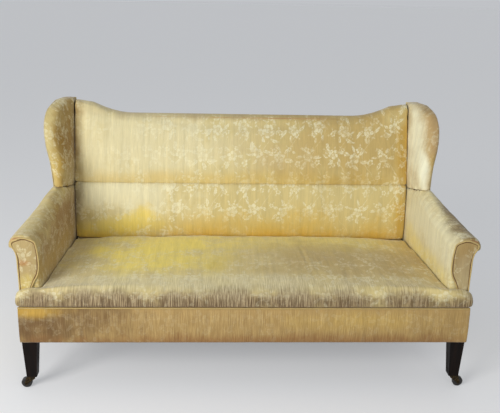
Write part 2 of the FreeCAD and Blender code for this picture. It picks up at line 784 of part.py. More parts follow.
BORDER_HALF = SIZE["frame_half"] + 5
BORDER_LOW = 202
border = prism([
    (-BORDER_HALF, 7.5, BORDER_LOW),
    (-BORDER_HALF, 7.5, 356),
    [(-BORDER_HALF, 2, 356), (-BORDER_HALF, 0.4, 340)],
    (-BORDER_HALF, 1, BORDER_LOW + 10),
    (-BORDER_HALF, 2.5, BORDER_LOW),
], (2 * BORDER_HALF, 0, 0))
formed("front_border", border)


SEAT_TURN = 860


def seat_section(x):
    """The seat from lip to back at one place across: a rolled nose, a crowned top, a tucked back."""
    end = max(abs(x) - SEAT_TURN, 0) / (SIZE["seat_half"] - SEAT_TURN)
    crown = 1 - (abs(x) / SIZE["seat_half"]) ** 2.6
    low = SIZE["seat_low"]
    nose = -SIZE["lip_out"] + 7 * end ** 2
    front_z = SIZE["seat_front_z"] - 20 * (1 - crown) * 0.3 - 16 * end ** 2
    mid_z = SIZE["seat_mid_z"] - 40 * (1 - crown)
    back_z = SIZE["seat_back_z"] - 36 * (1 - crown)
    nose_z = low + 26
    return [
        [(x, 4, low), (x, nose + 5, low + 6)],
        [(x, nose, nose_z), (x, nose + 10, front_z - 9)],
        [(x, 36, front_z), (x, 330, mid_z)],
        [(x, 632, back_z), (x, 651, back_z - 9)],
        (x, 656.5, 397), (x, 720, 396), (x, 720, low),
    ]


SEAT_STATIONS = (SIZE["seat_half"], 886, SEAT_TURN, 780, 600, 300)
across = [-x for x in SEAT_STATIONS] + [0] + list(reversed(SEAT_STATIONS))
seat = loft([seat_section(x) for x in across])
for side in (-1, 1):
    keep_out = [(side * (arm_x(33.5) - 1.5), 33.5, 300), (side * 1000, 33.5, 300),
                (side * 1000, 800, 300), (side * (SIZE["arm_in_back"] - 1.5), 800, 300),
                (side * (SIZE["arm_in_back"] - 1.5), ARM_END, 300)]
    seat = seat.cut(prism(keep_out, (0, 0, 300)))
formed("seat_pad", seat)

# Back: webbing and hessian on the frame, a lower lumbar pad and an upper pad that rolls over the top

web = []
for index in range(7):
    web.append(lean_box("back_web_up_%d" % index, str((index - 3) * 220 - 25), "50", "380",
                        "(dims.top_rail_low - 380 + 45) / %.5f" % LEAN_COS, "1.4", "1.8"))
for index, z in enumerate((500, 610, 720, 830)):
    web.append(lean_box("back_web_across_%d" % index, "-770", "1540", str(z), "50", "1.4", "3.3"))
group("back_webbing", web)
keep(lean_box("back_hessian", "-771", "1542", "376", "dims.top_rail_low - 376 + 48", "1", "4.6"),
     "back_hessian")

BACK_PLAY = 6
LOWER_HALF = 776.5
LOWER_TURN = 700
UPPER_TURN = 710


def lower_back_section(x):
    end = max(abs(x) - LOWER_TURN, 0) / (LOWER_HALF - LOWER_TURN)
    tuck = 26 * end ** 2
    return [
        [(x, 664 + tuck * 0.4, 402), (x, 646 + tuck, 530)],
        (x, 684 + tuck * 0.4, SIZE["seam_z"] - 1),
        (x, back_y(SIZE["seam_z"]) - BACK_PLAY, SIZE["seam_z"] - 1),
        (x, back_y(402) - BACK_PLAY, 402),
    ]


LOWER_STATIONS = (LOWER_HALF, 760, 735, LOWER_TURN, 350)
across = [-x for x in LOWER_STATIONS] + [0] + list(reversed(LOWER_STATIONS))
formed("inside_back_lower", loft([lower_back_section(x) for x in across]))


def upper_back_section(x):
    top = back_top(x)
    end = max(abs(x) - UPPER_TURN, 0) / (SIZE["back_pad_half"] - UPPER_TURN)
    tuck = 22 * end ** 2
    base = top - 12
    seam = SIZE["seam_z"] + 1
    return [
        [(x, 685 + tuck * 0.4, seam), (x, 711 + tuck, 800)],
        [(x, 776 + tuck * 0.4, top - 42), (x, 792, top - 10)],
        [(x, 818, top), (x, 842, top - 3)],
        (x, rear_y(base) + 5.5, base),
        (x, back_y(base) - BACK_PLAY, base),
        (x, back_y(seam) - BACK_PLAY, seam),
    ]


UPPER_STATIONS = (SIZE["back_pad_half"], 760, 735, UPPER_TURN, 695, 680, 665, 650, 635, 605, 570, 530, 250)
across = [-x for x in UPPER_STATIONS] + [0] + list(reversed(UPPER_STATIONS))
formed("inside_back_upper", loft([upper_back_section(x) for x in across]))

REAR_TURN = FreeCAD.Rotation(V(1, 0, 0), -math.degrees(math.atan(REAR_LEAN)))
REAR_COS = math.cos(math.atan(REAR_LEAN))
REAR_LOW = SIZE["leg_top"] - 1


def rear_point(x, z):
    return (str(x), "%.3f" % ((z - REAR_LOW) / REAR_COS))


REAR_BELOW_TOP = 13
REAR_EAR_TOP = 1035
ear_in = SIZE["back_pad_half"] + 1.5
rear_half = [(827, REAR_LOW), (838.5, REAR_EAR_TOP), (ear_in, REAR_EAR_TOP),
             (ear_in, back_top(SIZE["back_pad_half"]) - REAR_BELOW_TOP)]
rear_half += [(x, back_top(x) - REAR_BELOW_TOP) for x in TOP_STATIONS]
rear_points = [rear_point(x, z) for x, z in rear_half]
rear_points += [rear_point(-x, z) for x, z in reversed(rear_half)]
board("outside_back", "XZ_Plane", rear_points, "3.6",
      ("0", "dims.back_front + dims.post_deep + 0.6", "dims.leg_top - 1"), REAR_TURN, reverse=True)

# Castors: a plate with a socket on each foot, a horned fork that swivels in it, an axle and a wheel.
# Each castor is built with its stem on its own z axis and its horn along its own x axis.

FOOT_X = "(dims.frame_half - dims.foot_inset - dims.leg_foot / 2)"
FOOT_Y = "(dims.rail_front + 6 + dims.leg_foot / 2)"
BACK_FOOT_X = "(dims.back_half - dims.post_wide / 2)"
CASTORS = [
    ("front_left", "-" + FOOT_X, FOOT_Y, 180),
    ("front_right", FOOT_X, FOOT_Y, 0),
    ("back_left", "-" + BACK_FOOT_X, BACK_FOOT_Y, 90),
    ("back_right", BACK_FOOT_X, BACK_FOOT_Y, 90),
]


def fork(name):
    host = body(name)
    cheek = sketch(host, name + "_cheek", "XZ_Plane")
    outline(cheek, [
        ("-11", "dims.swivel_z - 8"),
        ("-11", "dims.swivel_z"),
        ("dims.castor_trail - 3", "dims.swivel_z"),
        ("dims.castor_trail + 7", "dims.wheel_r"),
        ("via", "dims.castor_trail", "dims.wheel_r - 7"),
        ("dims.castor_trail - 7", "dims.wheel_r"),
    ])
    pad(host, cheek, "dims.fork_wide", middle=True)
    slot = sketch(host, name + "_slot", "XZ_Plane")
    outline(slot, [
        ("-20", "0"),
        ("dims.castor_trail + 30", "0"),
        ("dims.castor_trail + 30", "dims.swivel_z - 5"),
        ("-20", "dims.swivel_z - 5"),
    ])
    pocket(host, slot, "dims.fork_slot", middle=True)
    stem = sketch(host, name + "_stem", "XY_Plane", "dims.swivel_z - 1")
    circle(stem, "0", "0", "dims.stem_r")
    pad(host, stem, "26")
    hole = sketch(host, name + "_hole", "XZ_Plane")
    circle(hole, "dims.castor_trail", "dims.wheel_r", "dims.axle_r + 0.02")
    pocket(host, hole, "2 * dims.fork_wide", middle=True)
    return host


def turned(name, corners):
    """A turned piece: half its section, revolved about the sketch's upright axis."""
    host = body(name)
    profile = sketch(host, name + "_profile", "XY_Plane")
    outline(profile, corners)
    feature = host.newObject("PartDesign::Revolution", name + "_turn")
    feature.Profile = profile
    feature.ReferenceAxis = (profile, ["V_Axis"])
    feature.Angle = 360
    return host


def wheel(name):
    return turned(name, [
        ("dims.wheel_bore", "-dims.wheel_wide / 2"),
        ("dims.wheel_r - 4", "-dims.wheel_wide / 2"),
        ("dims.wheel_r", "-dims.wheel_wide / 2 + 4"),
        ("dims.wheel_r", "dims.wheel_wide / 2 - 4"),
        ("dims.wheel_r - 4", "dims.wheel_wide / 2"),
        ("dims.wheel_bore", "dims.wheel_wide / 2"),
    ])


HEAD_OUT = "(dims.fork_wide / 2 + 0.05)"


def axle(name):
    return turned(name, [
        ("0", "-%s - dims.head_thick" % HEAD_OUT),
        ("dims.head_r", "-%s - dims.head_thick" % HEAD_OUT),
        ("dims.head_r", "-" + HEAD_OUT),
        ("dims.axle_r", "-" + HEAD_OUT),
        ("dims.axle_r", HEAD_OUT),
        ("dims.head_r", HEAD_OUT),
        ("dims.head_r", "%s + dims.head_thick" % HEAD_OUT),
        ("0", "%s + dims.head_thick" % HEAD_OUT),
    ])


plates = []
for name, x, y, angle in CASTORS:
    turn = FreeCAD.Rotation(V(0, 0, 1), angle)
    reach_x = " + dims.castor_trail * (%d)" % round(math.cos(math.radians(angle)))
    reach_y = " + dims.castor_trail * (%d)" % round(math.sin(math.radians(angle)))
    swivel = fork(name + "_castor_fork")
    place(swivel, x, y, "-dims.lift", turn)
    keep(swivel, name + "_castor_fork")
    for make, piece in ((axle, "castor_axle"), (wheel, "castor_wheel")):
        made = make("%s_%s" % (name, piece))
        place(made, x + reach_x, y + reach_y, "dims.wheel_r - dims.lift", turn)
        keep(made, "%s_%s" % (name, piece))
    plate_low = "dims.leg_low - dims.plate"
    plate = box(name + "_plate", (x + " - dims.plate_wide / 2", y + " - dims.plate_wide / 2", plate_low),
                ("dims.plate_wide", "dims.plate_wide", "dims.plate"))
    sleeve = cylinder(name + "_sleeve", "dims.socket_r", "dims.plate + dims.socket_deep", (x, y, plate_low))
    bore = cylinder(name + "_bore", "dims.stem_r + 0.05", "40", (x, y, "dims.leg_low - 8"))
    solid = doc.addObject("Part::Fuse", name + "_solid")
    solid.Base = plate
    solid.Tool = sleeve
    bored = doc.addObject("Part::Cut", name + "_socket")
    bored.Base = solid
    bored.Tool = bore
    plates.append(bored)
group("castor_sockets", plates)

# Every piece is checked before any file is written.

doc.recompute()
for piece in doc.Objects:
    if "Invalid" in piece.State or "Error" in piece.State:
        raise RuntimeError("%s is %s" % (piece.Name, piece.State))
for piece in parts:
    if piece.Shape.isNull() or not piece.Shape.isValid() or not piece.Shape.Solids:
        raise RuntimeError("%s has no valid solid" % piece.Label)

os.makedirs("parts", exist_ok=True)
whole = Part.makeCompound([piece.Shape for piece in parts]).optimalBoundingBox()
for piece in parts:
    piece.Shape.exportStep("parts/%s.step" % piece.Label)
print("%d parts, overall %.1f to %.1f, %.1f to %.1f, %.1f to %.1f" % (
    len(parts), whole.XMin, whole.XMax, whole.YMin, whole.YMax, whole.ZMin, whole.ZMax))
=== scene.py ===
import json
import math

import bmesh
import bpy
import numpy as np
from mathutils import Matrix, Vector, noise
from mathutils.bvhtree import BVHTree


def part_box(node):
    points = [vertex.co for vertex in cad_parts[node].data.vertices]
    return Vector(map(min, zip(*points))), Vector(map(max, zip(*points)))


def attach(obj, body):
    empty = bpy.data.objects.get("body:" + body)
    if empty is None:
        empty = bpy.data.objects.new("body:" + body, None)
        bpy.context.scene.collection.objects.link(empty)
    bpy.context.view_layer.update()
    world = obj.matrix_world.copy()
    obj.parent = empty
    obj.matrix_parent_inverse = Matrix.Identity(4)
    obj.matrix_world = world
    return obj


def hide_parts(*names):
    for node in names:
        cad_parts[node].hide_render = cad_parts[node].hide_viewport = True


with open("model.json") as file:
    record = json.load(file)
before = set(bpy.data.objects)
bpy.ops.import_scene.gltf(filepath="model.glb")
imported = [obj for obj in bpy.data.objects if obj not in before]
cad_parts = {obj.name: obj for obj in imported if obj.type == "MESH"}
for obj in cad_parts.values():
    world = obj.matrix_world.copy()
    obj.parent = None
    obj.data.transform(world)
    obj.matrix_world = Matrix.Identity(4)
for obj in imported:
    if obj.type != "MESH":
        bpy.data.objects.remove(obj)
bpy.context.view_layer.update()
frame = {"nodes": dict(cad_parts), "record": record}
nodes = frame["nodes"]
scene = bpy.context.scene
X, Y, Z = 0, 1, 2

# Camera: the photograph's viewpoint, with its lens worked out on an image 500 wide

EYE = (-0.1434, -3.1103, 1.6185)
PITCH, YAW, ROLL = 0.3014, 0.0533, 0.0245
FOCAL_PX, IMAGE_WIDE, SENSOR_MM = 752.1, 500, 36

ahead = Vector((math.sin(YAW) * math.cos(PITCH), math.cos(YAW) * math.cos(PITCH), -math.sin(PITCH)))
level = ahead.cross(Vector((0, 0, 1))).normalized()
upright = level.cross(ahead)
right_axis = level * math.cos(ROLL) + upright * math.sin(ROLL)
up_axis = upright * math.cos(ROLL) - level * math.sin(ROLL)
lens = bpy.data.cameras.new("camera")
lens.sensor_width = SENSOR_MM
lens.lens = FOCAL_PX / IMAGE_WIDE * SENSOR_MM
camera = bpy.data.objects.new("camera", lens)
turn = Matrix((right_axis, up_axis, -ahead)).transposed().to_4x4()
camera.matrix_world = Matrix.Translation(EYE) @ turn
scene.collection.objects.link(camera)
scene.camera = camera
scene.view_settings.view_transform = "Standard"


# Shader helpers

def srgb(red, green, blue):
    """A colour written as 0 to 255, for a node socket."""
    parts = []
    for value in (red, green, blue):
        value /= 255
        parts.append(value / 12.92 if value <= 0.04045 else ((value + 0.055) / 1.055) ** 2.4)
    return (*parts, 1.0)


class Graph:
    """Adds nodes to one tree. A value may be a number, a tuple or another node's output."""

    def __init__(self, tree):
        self.tree = tree

    def add(self, kind, *values, **settings):
        node = self.tree.nodes.new("ShaderNode" + kind)
        for name, value in settings.items():
            setattr(node, name, value)
        for index, value in enumerate(values):
            self.put(node.inputs[index], value)
        return node

    def put(self, socket, value):
        if value is None:
            return
        if isinstance(value, bpy.types.NodeSocket):
            self.tree.links.new(value, socket)
        else:
            socket.default_value = value

    def math(self, operation, *values, clamp=False):
        return self.add("Math", *values, operation=operation, use_clamp=clamp).outputs[0]

    def vector(self, operation, *values):
        node = self.add("VectorMath", *values, operation=operation)
        return node.outputs["Value" if operation == "LENGTH" else "Vector"]

    def split(self, value):
        return self.add("SeparateXYZ", value).outputs

    def join(self, x, y, z=0.0):
        return self.add("CombineXYZ", x, y, z).outputs[0]

    def spread(self, value, low, high, to_low=0.0, to_high=1.0, smooth=True):
        kind = "SMOOTHSTEP" if smooth else "LINEAR"
        return self.add("MapRange", value, low, high, to_low, to_high, interpolation_type=kind).outputs[0]

    def noise(self, vector, scale=1.0, detail=2.0, rough=0.5):
        node = self.add("TexNoise")
        for name, value in (("Vector", vector), ("Scale", scale), ("Detail", detail), ("Roughness", rough)):
            self.put(node.inputs[name], value)
        return node.outputs[0]

    def mix(self, factor, first, second, kind="MIX"):
        node = self.add("Mix", data_type="RGBA", blend_type=kind)
        for index, value in ((0, factor), (6, first), (7, second)):
            self.put(node.inputs[index], value)
        return node.outputs[2]

    def chance(self, vector):
        """Three random numbers from 0 to 1 for a vector of whole numbers."""
        node = self.add("TexWhiteNoise", noise_dimensions="3D")
        self.put(node.inputs["Vector"], vector)
        return node.outputs["Color"]

    def group(self, tree, *values):
        node = self.add("Group", node_tree=tree)
        for index, value in enumerate(values):
            self.put(node.inputs[index], value)
        return node.outputs[0]


def node_group(name, inputs):
    """A new group with one float output. Gives the group, its inputs and a graph to fill it with."""
    tree = bpy.data.node_groups.new(name, "ShaderNodeTree")
    for label, kind in inputs:
        tree.interface.new_socket(label, in_out="INPUT", socket_type="NodeSocket" + kind)
    tree.interface.new_socket("Value", in_out="OUTPUT", socket_type="NodeSocketFloat")
    graph = Graph(tree)
    entry = tree.nodes.new("NodeGroupInput")
    leave = tree.nodes.new("NodeGroupOutput")
    return tree, entry.outputs, leave.inputs[0], graph


def material(name, rough, **settings):
    """A new material with one Principled shader. Settings are set on the shader's own sockets."""
    made = bpy.data.materials.new(name)
    made.use_nodes = True
    graph = Graph(made.node_tree)
    made.node_tree.nodes.clear()
    output = graph.add("OutputMaterial")
    shader = graph.add("BsdfPrincipled")
    graph.put(shader.inputs["Roughness"], rough)
    for label, value in settings.items():
        shader.inputs[label.replace("_", " ")].default_value = value
    graph.put(output.inputs[0], shader.outputs[0])
    return made, graph, shader.inputs


def bump(graph, height, distance, strength=1.0):
    node = graph.add("Bump")
    for label, value in (("Strength", strength), ("Distance", distance), ("Height", height)):
        graph.put(node.inputs[label], value)
    return node.outputs[0]


# The damask: one flower with its leaves, drawn again in every cell of a half-drop lattice

EDGE = 0.0016
PETALS, FLOWER_SHARE = 5, 0.44
STRAY = 0.24
REPEAT_ACROSS, REPEAT_UP = 3.0, 4.0
LARGE_CELL, SMALL_CELL = (0.118, 0.124, 1.0), (0.083, 0.064, 1.0)
SMALL_SHIFT = (0.031, 0.027, 0.0)
STEM_SWAY = 0.032


def spray_tree():
    """A five-petalled flower in a ring of curved leaves. The cell's number turns and sizes it."""
    tree, given, leave, graph = node_group("spray", (
        ("Cloth", "Vector"), ("Cell", "Vector"), ("Shift", "Vector"), ("Leaves", "Float")))
    cloth, cell, shift, leaves = given[:4]
    x, y, unused = graph.split(graph.vector("DIVIDE", graph.vector("ADD", cloth, shift), cell))
    row = graph.math("FLOOR", y)
    x = graph.math("MULTIPLY_ADD", row, 0.5, x)
    number = graph.join(graph.math("FLOORED_MODULO", graph.math("FLOOR", x), REPEAT_ACROSS),
                        graph.math("FLOORED_MODULO", row, REPEAT_UP), leaves)
    first, second, third = graph.split(graph.chance(number))
    offset = []
    for place, draw in ((x, first), (y, second)):
        centred = graph.math("SUBTRACT", graph.math("FRACT", place), 0.5 - STRAY / 2)
        offset.append(graph.math("MULTIPLY_ADD", draw, -STRAY, centred))
    local = graph.vector("MULTIPLY", graph.join(*offset), cell)
    x, y, unused = graph.split(local)
    out = graph.vector("LENGTH", local)
    size = graph.math("MULTIPLY", graph.split(cell)[1], graph.math("MULTIPLY_ADD", third, 0.16, 0.42))
    twist = graph.math("MULTIPLY", out, graph.math("MULTIPLY_ADD", second, 30.0, -15.0))
    angle = graph.math("ADD", graph.math("ARCTAN2", y, x), graph.math("MULTIPLY_ADD", first, 6.28, twist))

    radius = graph.math("MULTIPLY", size, FLOWER_SHARE)
    lobe = graph.math("ABSOLUTE", graph.math("COSINE", graph.math("MULTIPLY", angle, PETALS / 2)))
    bulge = graph.math("MULTIPLY_ADD", graph.math("POWER", lobe, 0.6), 0.36, 0.64)
    reach = graph.math("MULTIPLY", radius, bulge)
    petals = graph.math("DIVIDE", graph.math("SUBTRACT", reach, out), EDGE, clamp=True)
    parting = graph.spread(graph.math("MULTIPLY", lobe, out), 0.0006, 0.0045, 0.3, 1.0)
    ring = graph.math("ABSOLUTE", graph.math("SUBTRACT", out, graph.math("MULTIPLY", radius, 0.3)))
    eye = graph.spread(ring, 0.0006, 0.0026, 0.25)
    flower = graph.math("MULTIPLY", graph.math("MULTIPLY", petals, parting), eye)

    share = graph.math("DIVIDE", 2 * math.pi, leaves)
    sector = graph.math("DIVIDE", angle, share)
    which = graph.math("FLOORED_MODULO", graph.math("FLOOR", sector), leaves)
    longer = graph.split(graph.chance(graph.vector("ADD", number, graph.join(which, 9.0))))[0]
    part = graph.math("MULTIPLY", graph.math("SUBTRACT", graph.math("FRACT", sector), 0.5), share)
    along = graph.math("MULTIPLY", out, graph.math("COSINE", part))
    off = graph.math("ABSOLUTE", graph.math("MULTIPLY", out, graph.math("SINE", part)))
    start = graph.math("MULTIPLY", radius, 0.9)
    length = graph.math("MULTIPLY", size, graph.math("MULTIPLY_ADD", longer, 0.5, 0.35))
    run = graph.math("DIVIDE", graph.math("SUBTRACT", along, start), length)
    hump = graph.math("MULTIPLY", graph.math("MULTIPLY", run, graph.math("SUBTRACT", 1.0, run)), 4.0)
    teeth = graph.math("MULTIPLY_ADD", graph.math("SINE", graph.math("MULTIPLY", along, 700.0)), 0.14, 1.0)
    half = graph.math("MULTIPLY", graph.math("MULTIPLY", hump, graph.math("MULTIPLY", length, 0.2)), teeth)
    body = graph.math("DIVIDE", graph.math("SUBTRACT", half, off), EDGE, clamp=True)
    leaf = graph.math("MULTIPLY", body, graph.spread(off, 0.0004, 0.0018, 0.4))
    graph.put(leave, graph.math("MAXIMUM", flower, leaf))
    return tree


def motif_tree():
    """Large sprays, small ones between them, and thin stems that wander up the cloth."""
    tree, given, leave, graph = node_group("motif", (("Cloth", "Vector"),))
    spray = spray_tree()
    large = graph.group(spray, given[0], LARGE_CELL, (0.0, 0.0, 0.0), 6.0)
    small = graph.group(spray, given[0], SMALL_CELL, SMALL_SHIFT, 4.0)
    u, v, unused = graph.split(given[0])
    wave = graph.math("SINE", graph.math("MULTIPLY", v, math.pi / LARGE_CELL[1]))
    swayed = graph.math("MULTIPLY_ADD", wave, STEM_SWAY, u)
    half_cell = LARGE_CELL[0] / 2
    stem = graph.math("ABSOLUTE", graph.math("WRAP", swayed, half_cell, -half_cell))
    line = graph.spread(stem, 0.0010, 0.0024, 0.45, 0.0)
    graph.put(leave, graph.math("MAXIMUM", graph.math("MAXIMUM", large, small), line))
    return tree


def patch_tree():
    """A soft-edged patch of the surface, as an ellipsoid with a ragged rim."""
    tree, given, leave, graph = node_group("patch", (
        ("Position", "Vector"), ("Centre", "Vector"), ("Size", "Vector"), ("Cloud", "Float"),
        ("Strength", "Float")))
    position, centre, size, cloud, strength = given[:5]
    away = graph.vector("DIVIDE", graph.vector("SUBTRACT", position, centre), size)
    reach = graph.math("ADD", graph.vector("LENGTH", away), graph.math("MULTIPLY_ADD", cloud, 2.6, -1.3))
    graph.put(leave, graph.math("MULTIPLY", graph.spread(reach, 1.4, 0.2), strength))
    return tree


MOTIF = motif_tree()
PATCH = patch_tree()
GROUND = srgb(208, 190, 130)
PALE = srgb(232, 225, 188)
THREADS, STREAKS = (330.0, 14.0, 0.0), (42.0, 2.2, 0.0)
WARP, WEFT = 0.0012, 0.0009
DRIFT = 0.022


def damask(name, ground=GROUND, patches=(), frays=(), motif=0.75, fade=(), streak=0.2):
    """The settee's silk damask. Patches are (colour, centre, size, strength), frays the same with two
    colours that alternate in vertical threads, and fades are places where the pattern is worn away."""
    made, graph, shader = material(name, None, Specular_IOR_Level=0.3, Sheen_Weight=0.25,
                                   Sheen_Roughness=0.45)
    cloth = graph.add("Attribute", attribute_name="cloth").outputs["Vector"]
    position = graph.add("TexCoord").outputs["Object"]
    sway = graph.noise(position, 26.0, 3.0)
    drift = graph.math("MULTIPLY_ADD", sway, DRIFT, -DRIFT / 2)
    swayed = graph.vector("ADD", cloth, graph.join(drift, drift))
    cloud = graph.noise(position, 7.0, 5.0, 0.6)
    threads = graph.noise(graph.vector("MULTIPLY", cloth, THREADS), 1.0, 3.0, 0.6)
    broad = graph.noise(graph.vector("MULTIPLY", cloth, STREAKS), 1.0, 3.0, 0.6)
    flowers = graph.group(MOTIF, swayed)
    ragged = graph.noise(position, 75.0, 3.0, 0.6)
    thinned = graph.spread(ragged, 0.40, 0.54, 0.3, 1.0)
    wear = graph.math("MULTIPLY", graph.spread(cloud, 0.34, 0.56, 0.4, 1.0), thinned)
    for centre, size, strength in fade:
        gone = graph.group(PATCH, position, centre, size, cloud, strength)
        wear = graph.math("MULTIPLY", wear, graph.math("SUBTRACT", 1.0, gone))
    shown = graph.math("MULTIPLY", graph.math("MULTIPLY", flowers, wear), motif)
    colour = ground
    for tint, centre, size, strength in patches:
        colour = graph.mix(graph.group(PATCH, position, centre, size, cloud, strength), colour, srgb(*tint))
    colour = graph.mix(shown, colour, PALE)
    tone = graph.math("ADD", graph.math("MULTIPLY", threads, 0.5), graph.math("MULTIPLY", broad, 0.5))
    shade = graph.spread(tone, 0.3, 0.7, 1.0 - streak, 1.0 + streak * 0.55, smooth=False)
    colour = graph.mix(1.0, colour, graph.join(shade, shade, shade), "MULTIPLY")
    for dark, light, centre, size, strength in frays:
        torn = graph.mix(graph.spread(threads, 0.42, 0.62), srgb(*dark), srgb(*light))
        colour = graph.mix(graph.group(PATCH, position, centre, size, cloud, strength), colour, torn)
    graph.put(shader["Base Color"], colour)
    graph.put(shader["Roughness"], graph.spread(shown, 0.0, 0.7, 0.62, 0.46))
    u, v, unused = graph.split(cloth)
    warp = graph.math("SINE", graph.math("MULTIPLY", u, 2 * math.pi / WARP))
    weft = graph.math("SINE", graph.math("MULTIPLY", v, 2 * math.pi / WEFT))
    weave = graph.math("MULTIPLY", warp, weft)
    height = graph.math("ADD", graph.math("MULTIPLY", threads, 1.6),
                        graph.math("MULTIPLY_ADD", weave, 0.12, graph.math("MULTIPLY", shown, 0.6)))
    graph.put(shader["Normal"], bump(graph, height, 0.0006))
    return made


# Mesh helpers

def link(name, mesh):
    piece = bpy.data.objects.new(name, mesh)
    scene.collection.objects.link(piece)
    return piece


def evaluated(piece):
    """Swap a piece's mesh for the shape that its modifiers give, and drop the modifiers."""
    graph = bpy.context.evaluated_depsgraph_get()
    mesh = bpy.data.meshes.new_from_object(piece.evaluated_get(graph))
    old = piece.data
    piece.modifiers.clear()
    piece.data = mesh
    bpy.data.meshes.remove(old)
    return piece


def points_of(mesh):
    flat = np.empty(len(mesh.vertices) * 3)
    mesh.vertices.foreach_get("co", flat)
    return flat.reshape(-1, 3)


def normals_of(mesh):
    flat = np.empty(len(mesh.vertices) * 3, np.float32)
    mesh.vertices.foreach_get("normal", flat)
    return flat.reshape(-1, 3).astype(float)


def put_points(mesh, points):
    mesh.vertices.foreach_set("co", points.ravel())
    mesh.update()


def edges_of(mesh):
    flat = np.empty(len(mesh.edges) * 2, np.int32)
    mesh.edges.foreach_get("vertices", flat)
    return flat.reshape(-1, 2)


def relaxed(points, edges, rounds):
    """Even out a surface without shrinking it much: each round pulls in, then pushes out a little more."""
    points = points.copy()
    count = len(points)
    ends = np.concatenate([edges[:, 0], edges[:, 1]])
    others = np.concatenate([edges[:, 1], edges[:, 0]])
    degree = np.maximum(np.bincount(ends, minlength=count), 1)[:, None]
    for step in range(rounds):
        for amount in (0.55, -0.57):
            mean = np.stack([np.bincount(ends, points[others, axis], count) for axis in range(3)], 1) / degree
            points += (mean - points) * amount
    return points


def lumps(points, size, seed, depth=2):
    """Smooth noise from -1 to 1 at each point, with features of about the size given."""
    shift = Vector((seed * 7.3, seed * 3.1, seed * 5.7))
    return np.array([noise.fractal(Vector(p) / size + shift, 1.0, 2.0, depth) for p in points])


def bumped(points, normals, amount):
    return points + normals * np.asarray(amount)[:, None]


def ramp(value, low, high):
    """0 below low, 1 above high, smooth between."""
    run = np.clip((value - low) / (high - low), 0, 1)
    return run * run * (3 - 2 * run)


def set_cloth(mesh, u, v):
    """Write the cloth's own coordinates, which the weave and the pattern follow."""
    layer = mesh.attributes.new("cloth", "FLOAT_VECTOR", "POINT")
    layer.data.foreach_set("vector", np.stack([u, v, np.zeros(len(u))], 1).astype(np.float32).ravel())


def shade_smooth(mesh):
    mesh.polygons.foreach_set("use_smooth", [True] * len(mesh.polygons))


def dressed(piece, finish, body="root"):
    piece.data.materials.clear()
    piece.data.materials.append(finish)
    shade_smooth(piece.data)
    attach(piece, body)
    return piece


# Soft pads: the CAD solid remeshed, evened out, blown up a little as cloth over stuffing

VOXEL = 0.009
PIN_STEPS = 10
INSET = 0.001
JOIN_WITHIN = 1e-5
FILLER_SCALE = (1.03, 1.0, 1.012)


def soft_copy(node, name, filled_by=None):
    """The node's shape as one even skin. filled_by is a node that fills a recess in it."""
    mesh = nodes[node].data.copy()
    edit = bmesh.new()
    edit.from_mesh(mesh)
    if filled_by:
        filler = nodes[filled_by].data.copy()
        centre = points_of(filler).mean(0)
        swollen = (points_of(filler) - centre) * FILLER_SCALE + centre
        put_points(filler, swollen)
        edit.from_mesh(filler)
    bmesh.ops.remove_doubles(edit, verts=edit.verts, dist=JOIN_WITHIN)
    edit.to_mesh(mesh)
    edit.free()
    piece = link(name, mesh)
    remesh = piece.modifiers.new("remesh", "REMESH")
    remesh.mode = "VOXEL"
    remesh.voxel_size = VOXEL
    return evaluated(piece)


class Pad:
    """One stuffed piece. held gives 1 where the cover is fixed and 0 where it is free to swell."""

    def __init__(self, node, held, swell, rounds=10, filled_by=None):
        self.swell = swell
        self.piece = soft_copy(node, node + "_soft", filled_by)
        mesh = self.piece.data
        points = relaxed(points_of(mesh), edges_of(mesh), rounds)
        put_points(mesh, points)
        self.rest = bumped(points, normals_of(mesh), np.full(len(points), -INSET))
        put_points(mesh, self.rest)
        self.held = np.clip(held(self.rest, normals_of(mesh)), 0, 1)

    def blow(self):
        """Set the cover up as cloth under pressure, pinned where it is held."""
        pins = self.piece.vertex_groups.new(name="held")
        for level in range(1, PIN_STEPS + 1):
            chosen = np.nonzero(np.round(self.held * PIN_STEPS) == level)[0].tolist()
            if chosen:
                pins.add(chosen, level / PIN_STEPS, "REPLACE")
        cloth = self.piece.modifiers.new("cloth", "CLOTH")
        cloth.settings.quality = 4
        cloth.settings.mass = 0.25
        cloth.settings.tension_stiffness = 12
        cloth.settings.compression_stiffness = 12
        cloth.settings.bending_stiffness = 0.3
        cloth.settings.use_pressure = True
        cloth.settings.uniform_pressure_force = 4
        cloth.settings.effector_weights.gravity = 0
        cloth.settings.vertex_group_mass = "held"
        cloth.collision_settings.use_collision = False

    def settle(self):
        """Take the blown shape, and limit how far any point has gone."""
        evaluated(self.piece)
        moved = points_of(self.piece.data) - self.rest
        far = np.linalg.norm(moved, axis=1, keepdims=True)
        limited = self.swell * np.tanh(far / self.swell)
        points = self.rest + moved * (limited / np.maximum(far, 1e-9)) * (1 - self.held[:, None])
        put_points(self.piece.data, relaxed(points, edges_of(self.piece.data), 2))


def facing(normals, axis, sign, start=0.35, end=0.8):
    return ramp(normals[:, axis] * sign, start, end)


# Where the covers are held: each pair is where the hold begins and where it is full
SEAT_REAR, SEAT_SIDE, ARM_START = (0.225, 0.245), (0.755, 0.775), (-0.40, -0.38)
BACK_SIDE = (0.755, 0.772)
UPPER_FACE, ROLL_LOW = 0.72, 0.60


def hold_seat(points, normals):
    """Held underneath, along the back and beside the arms."""
    low = facing(normals, Z, -1)
    back = ramp(points[:, Y], *SEAT_REAR)
    sides = ramp(np.abs(points[:, X]), *SEAT_SIDE) * ramp(points[:, Y], *ARM_START)
    return np.maximum.reduce([low, back, sides * 0.9])


def hold_back(points, normals):
    """Held behind, at both ends and along the level seams."""
    rear = facing(normals, Y, 1)
    ends = ramp(np.abs(points[:, X]), *BACK_SIDE)
    seams = facing(np.abs(normals), Z, 1) * (points[:, Z] < UPPER_FACE)
    return np.maximum.reduce([rear, ends, seams])


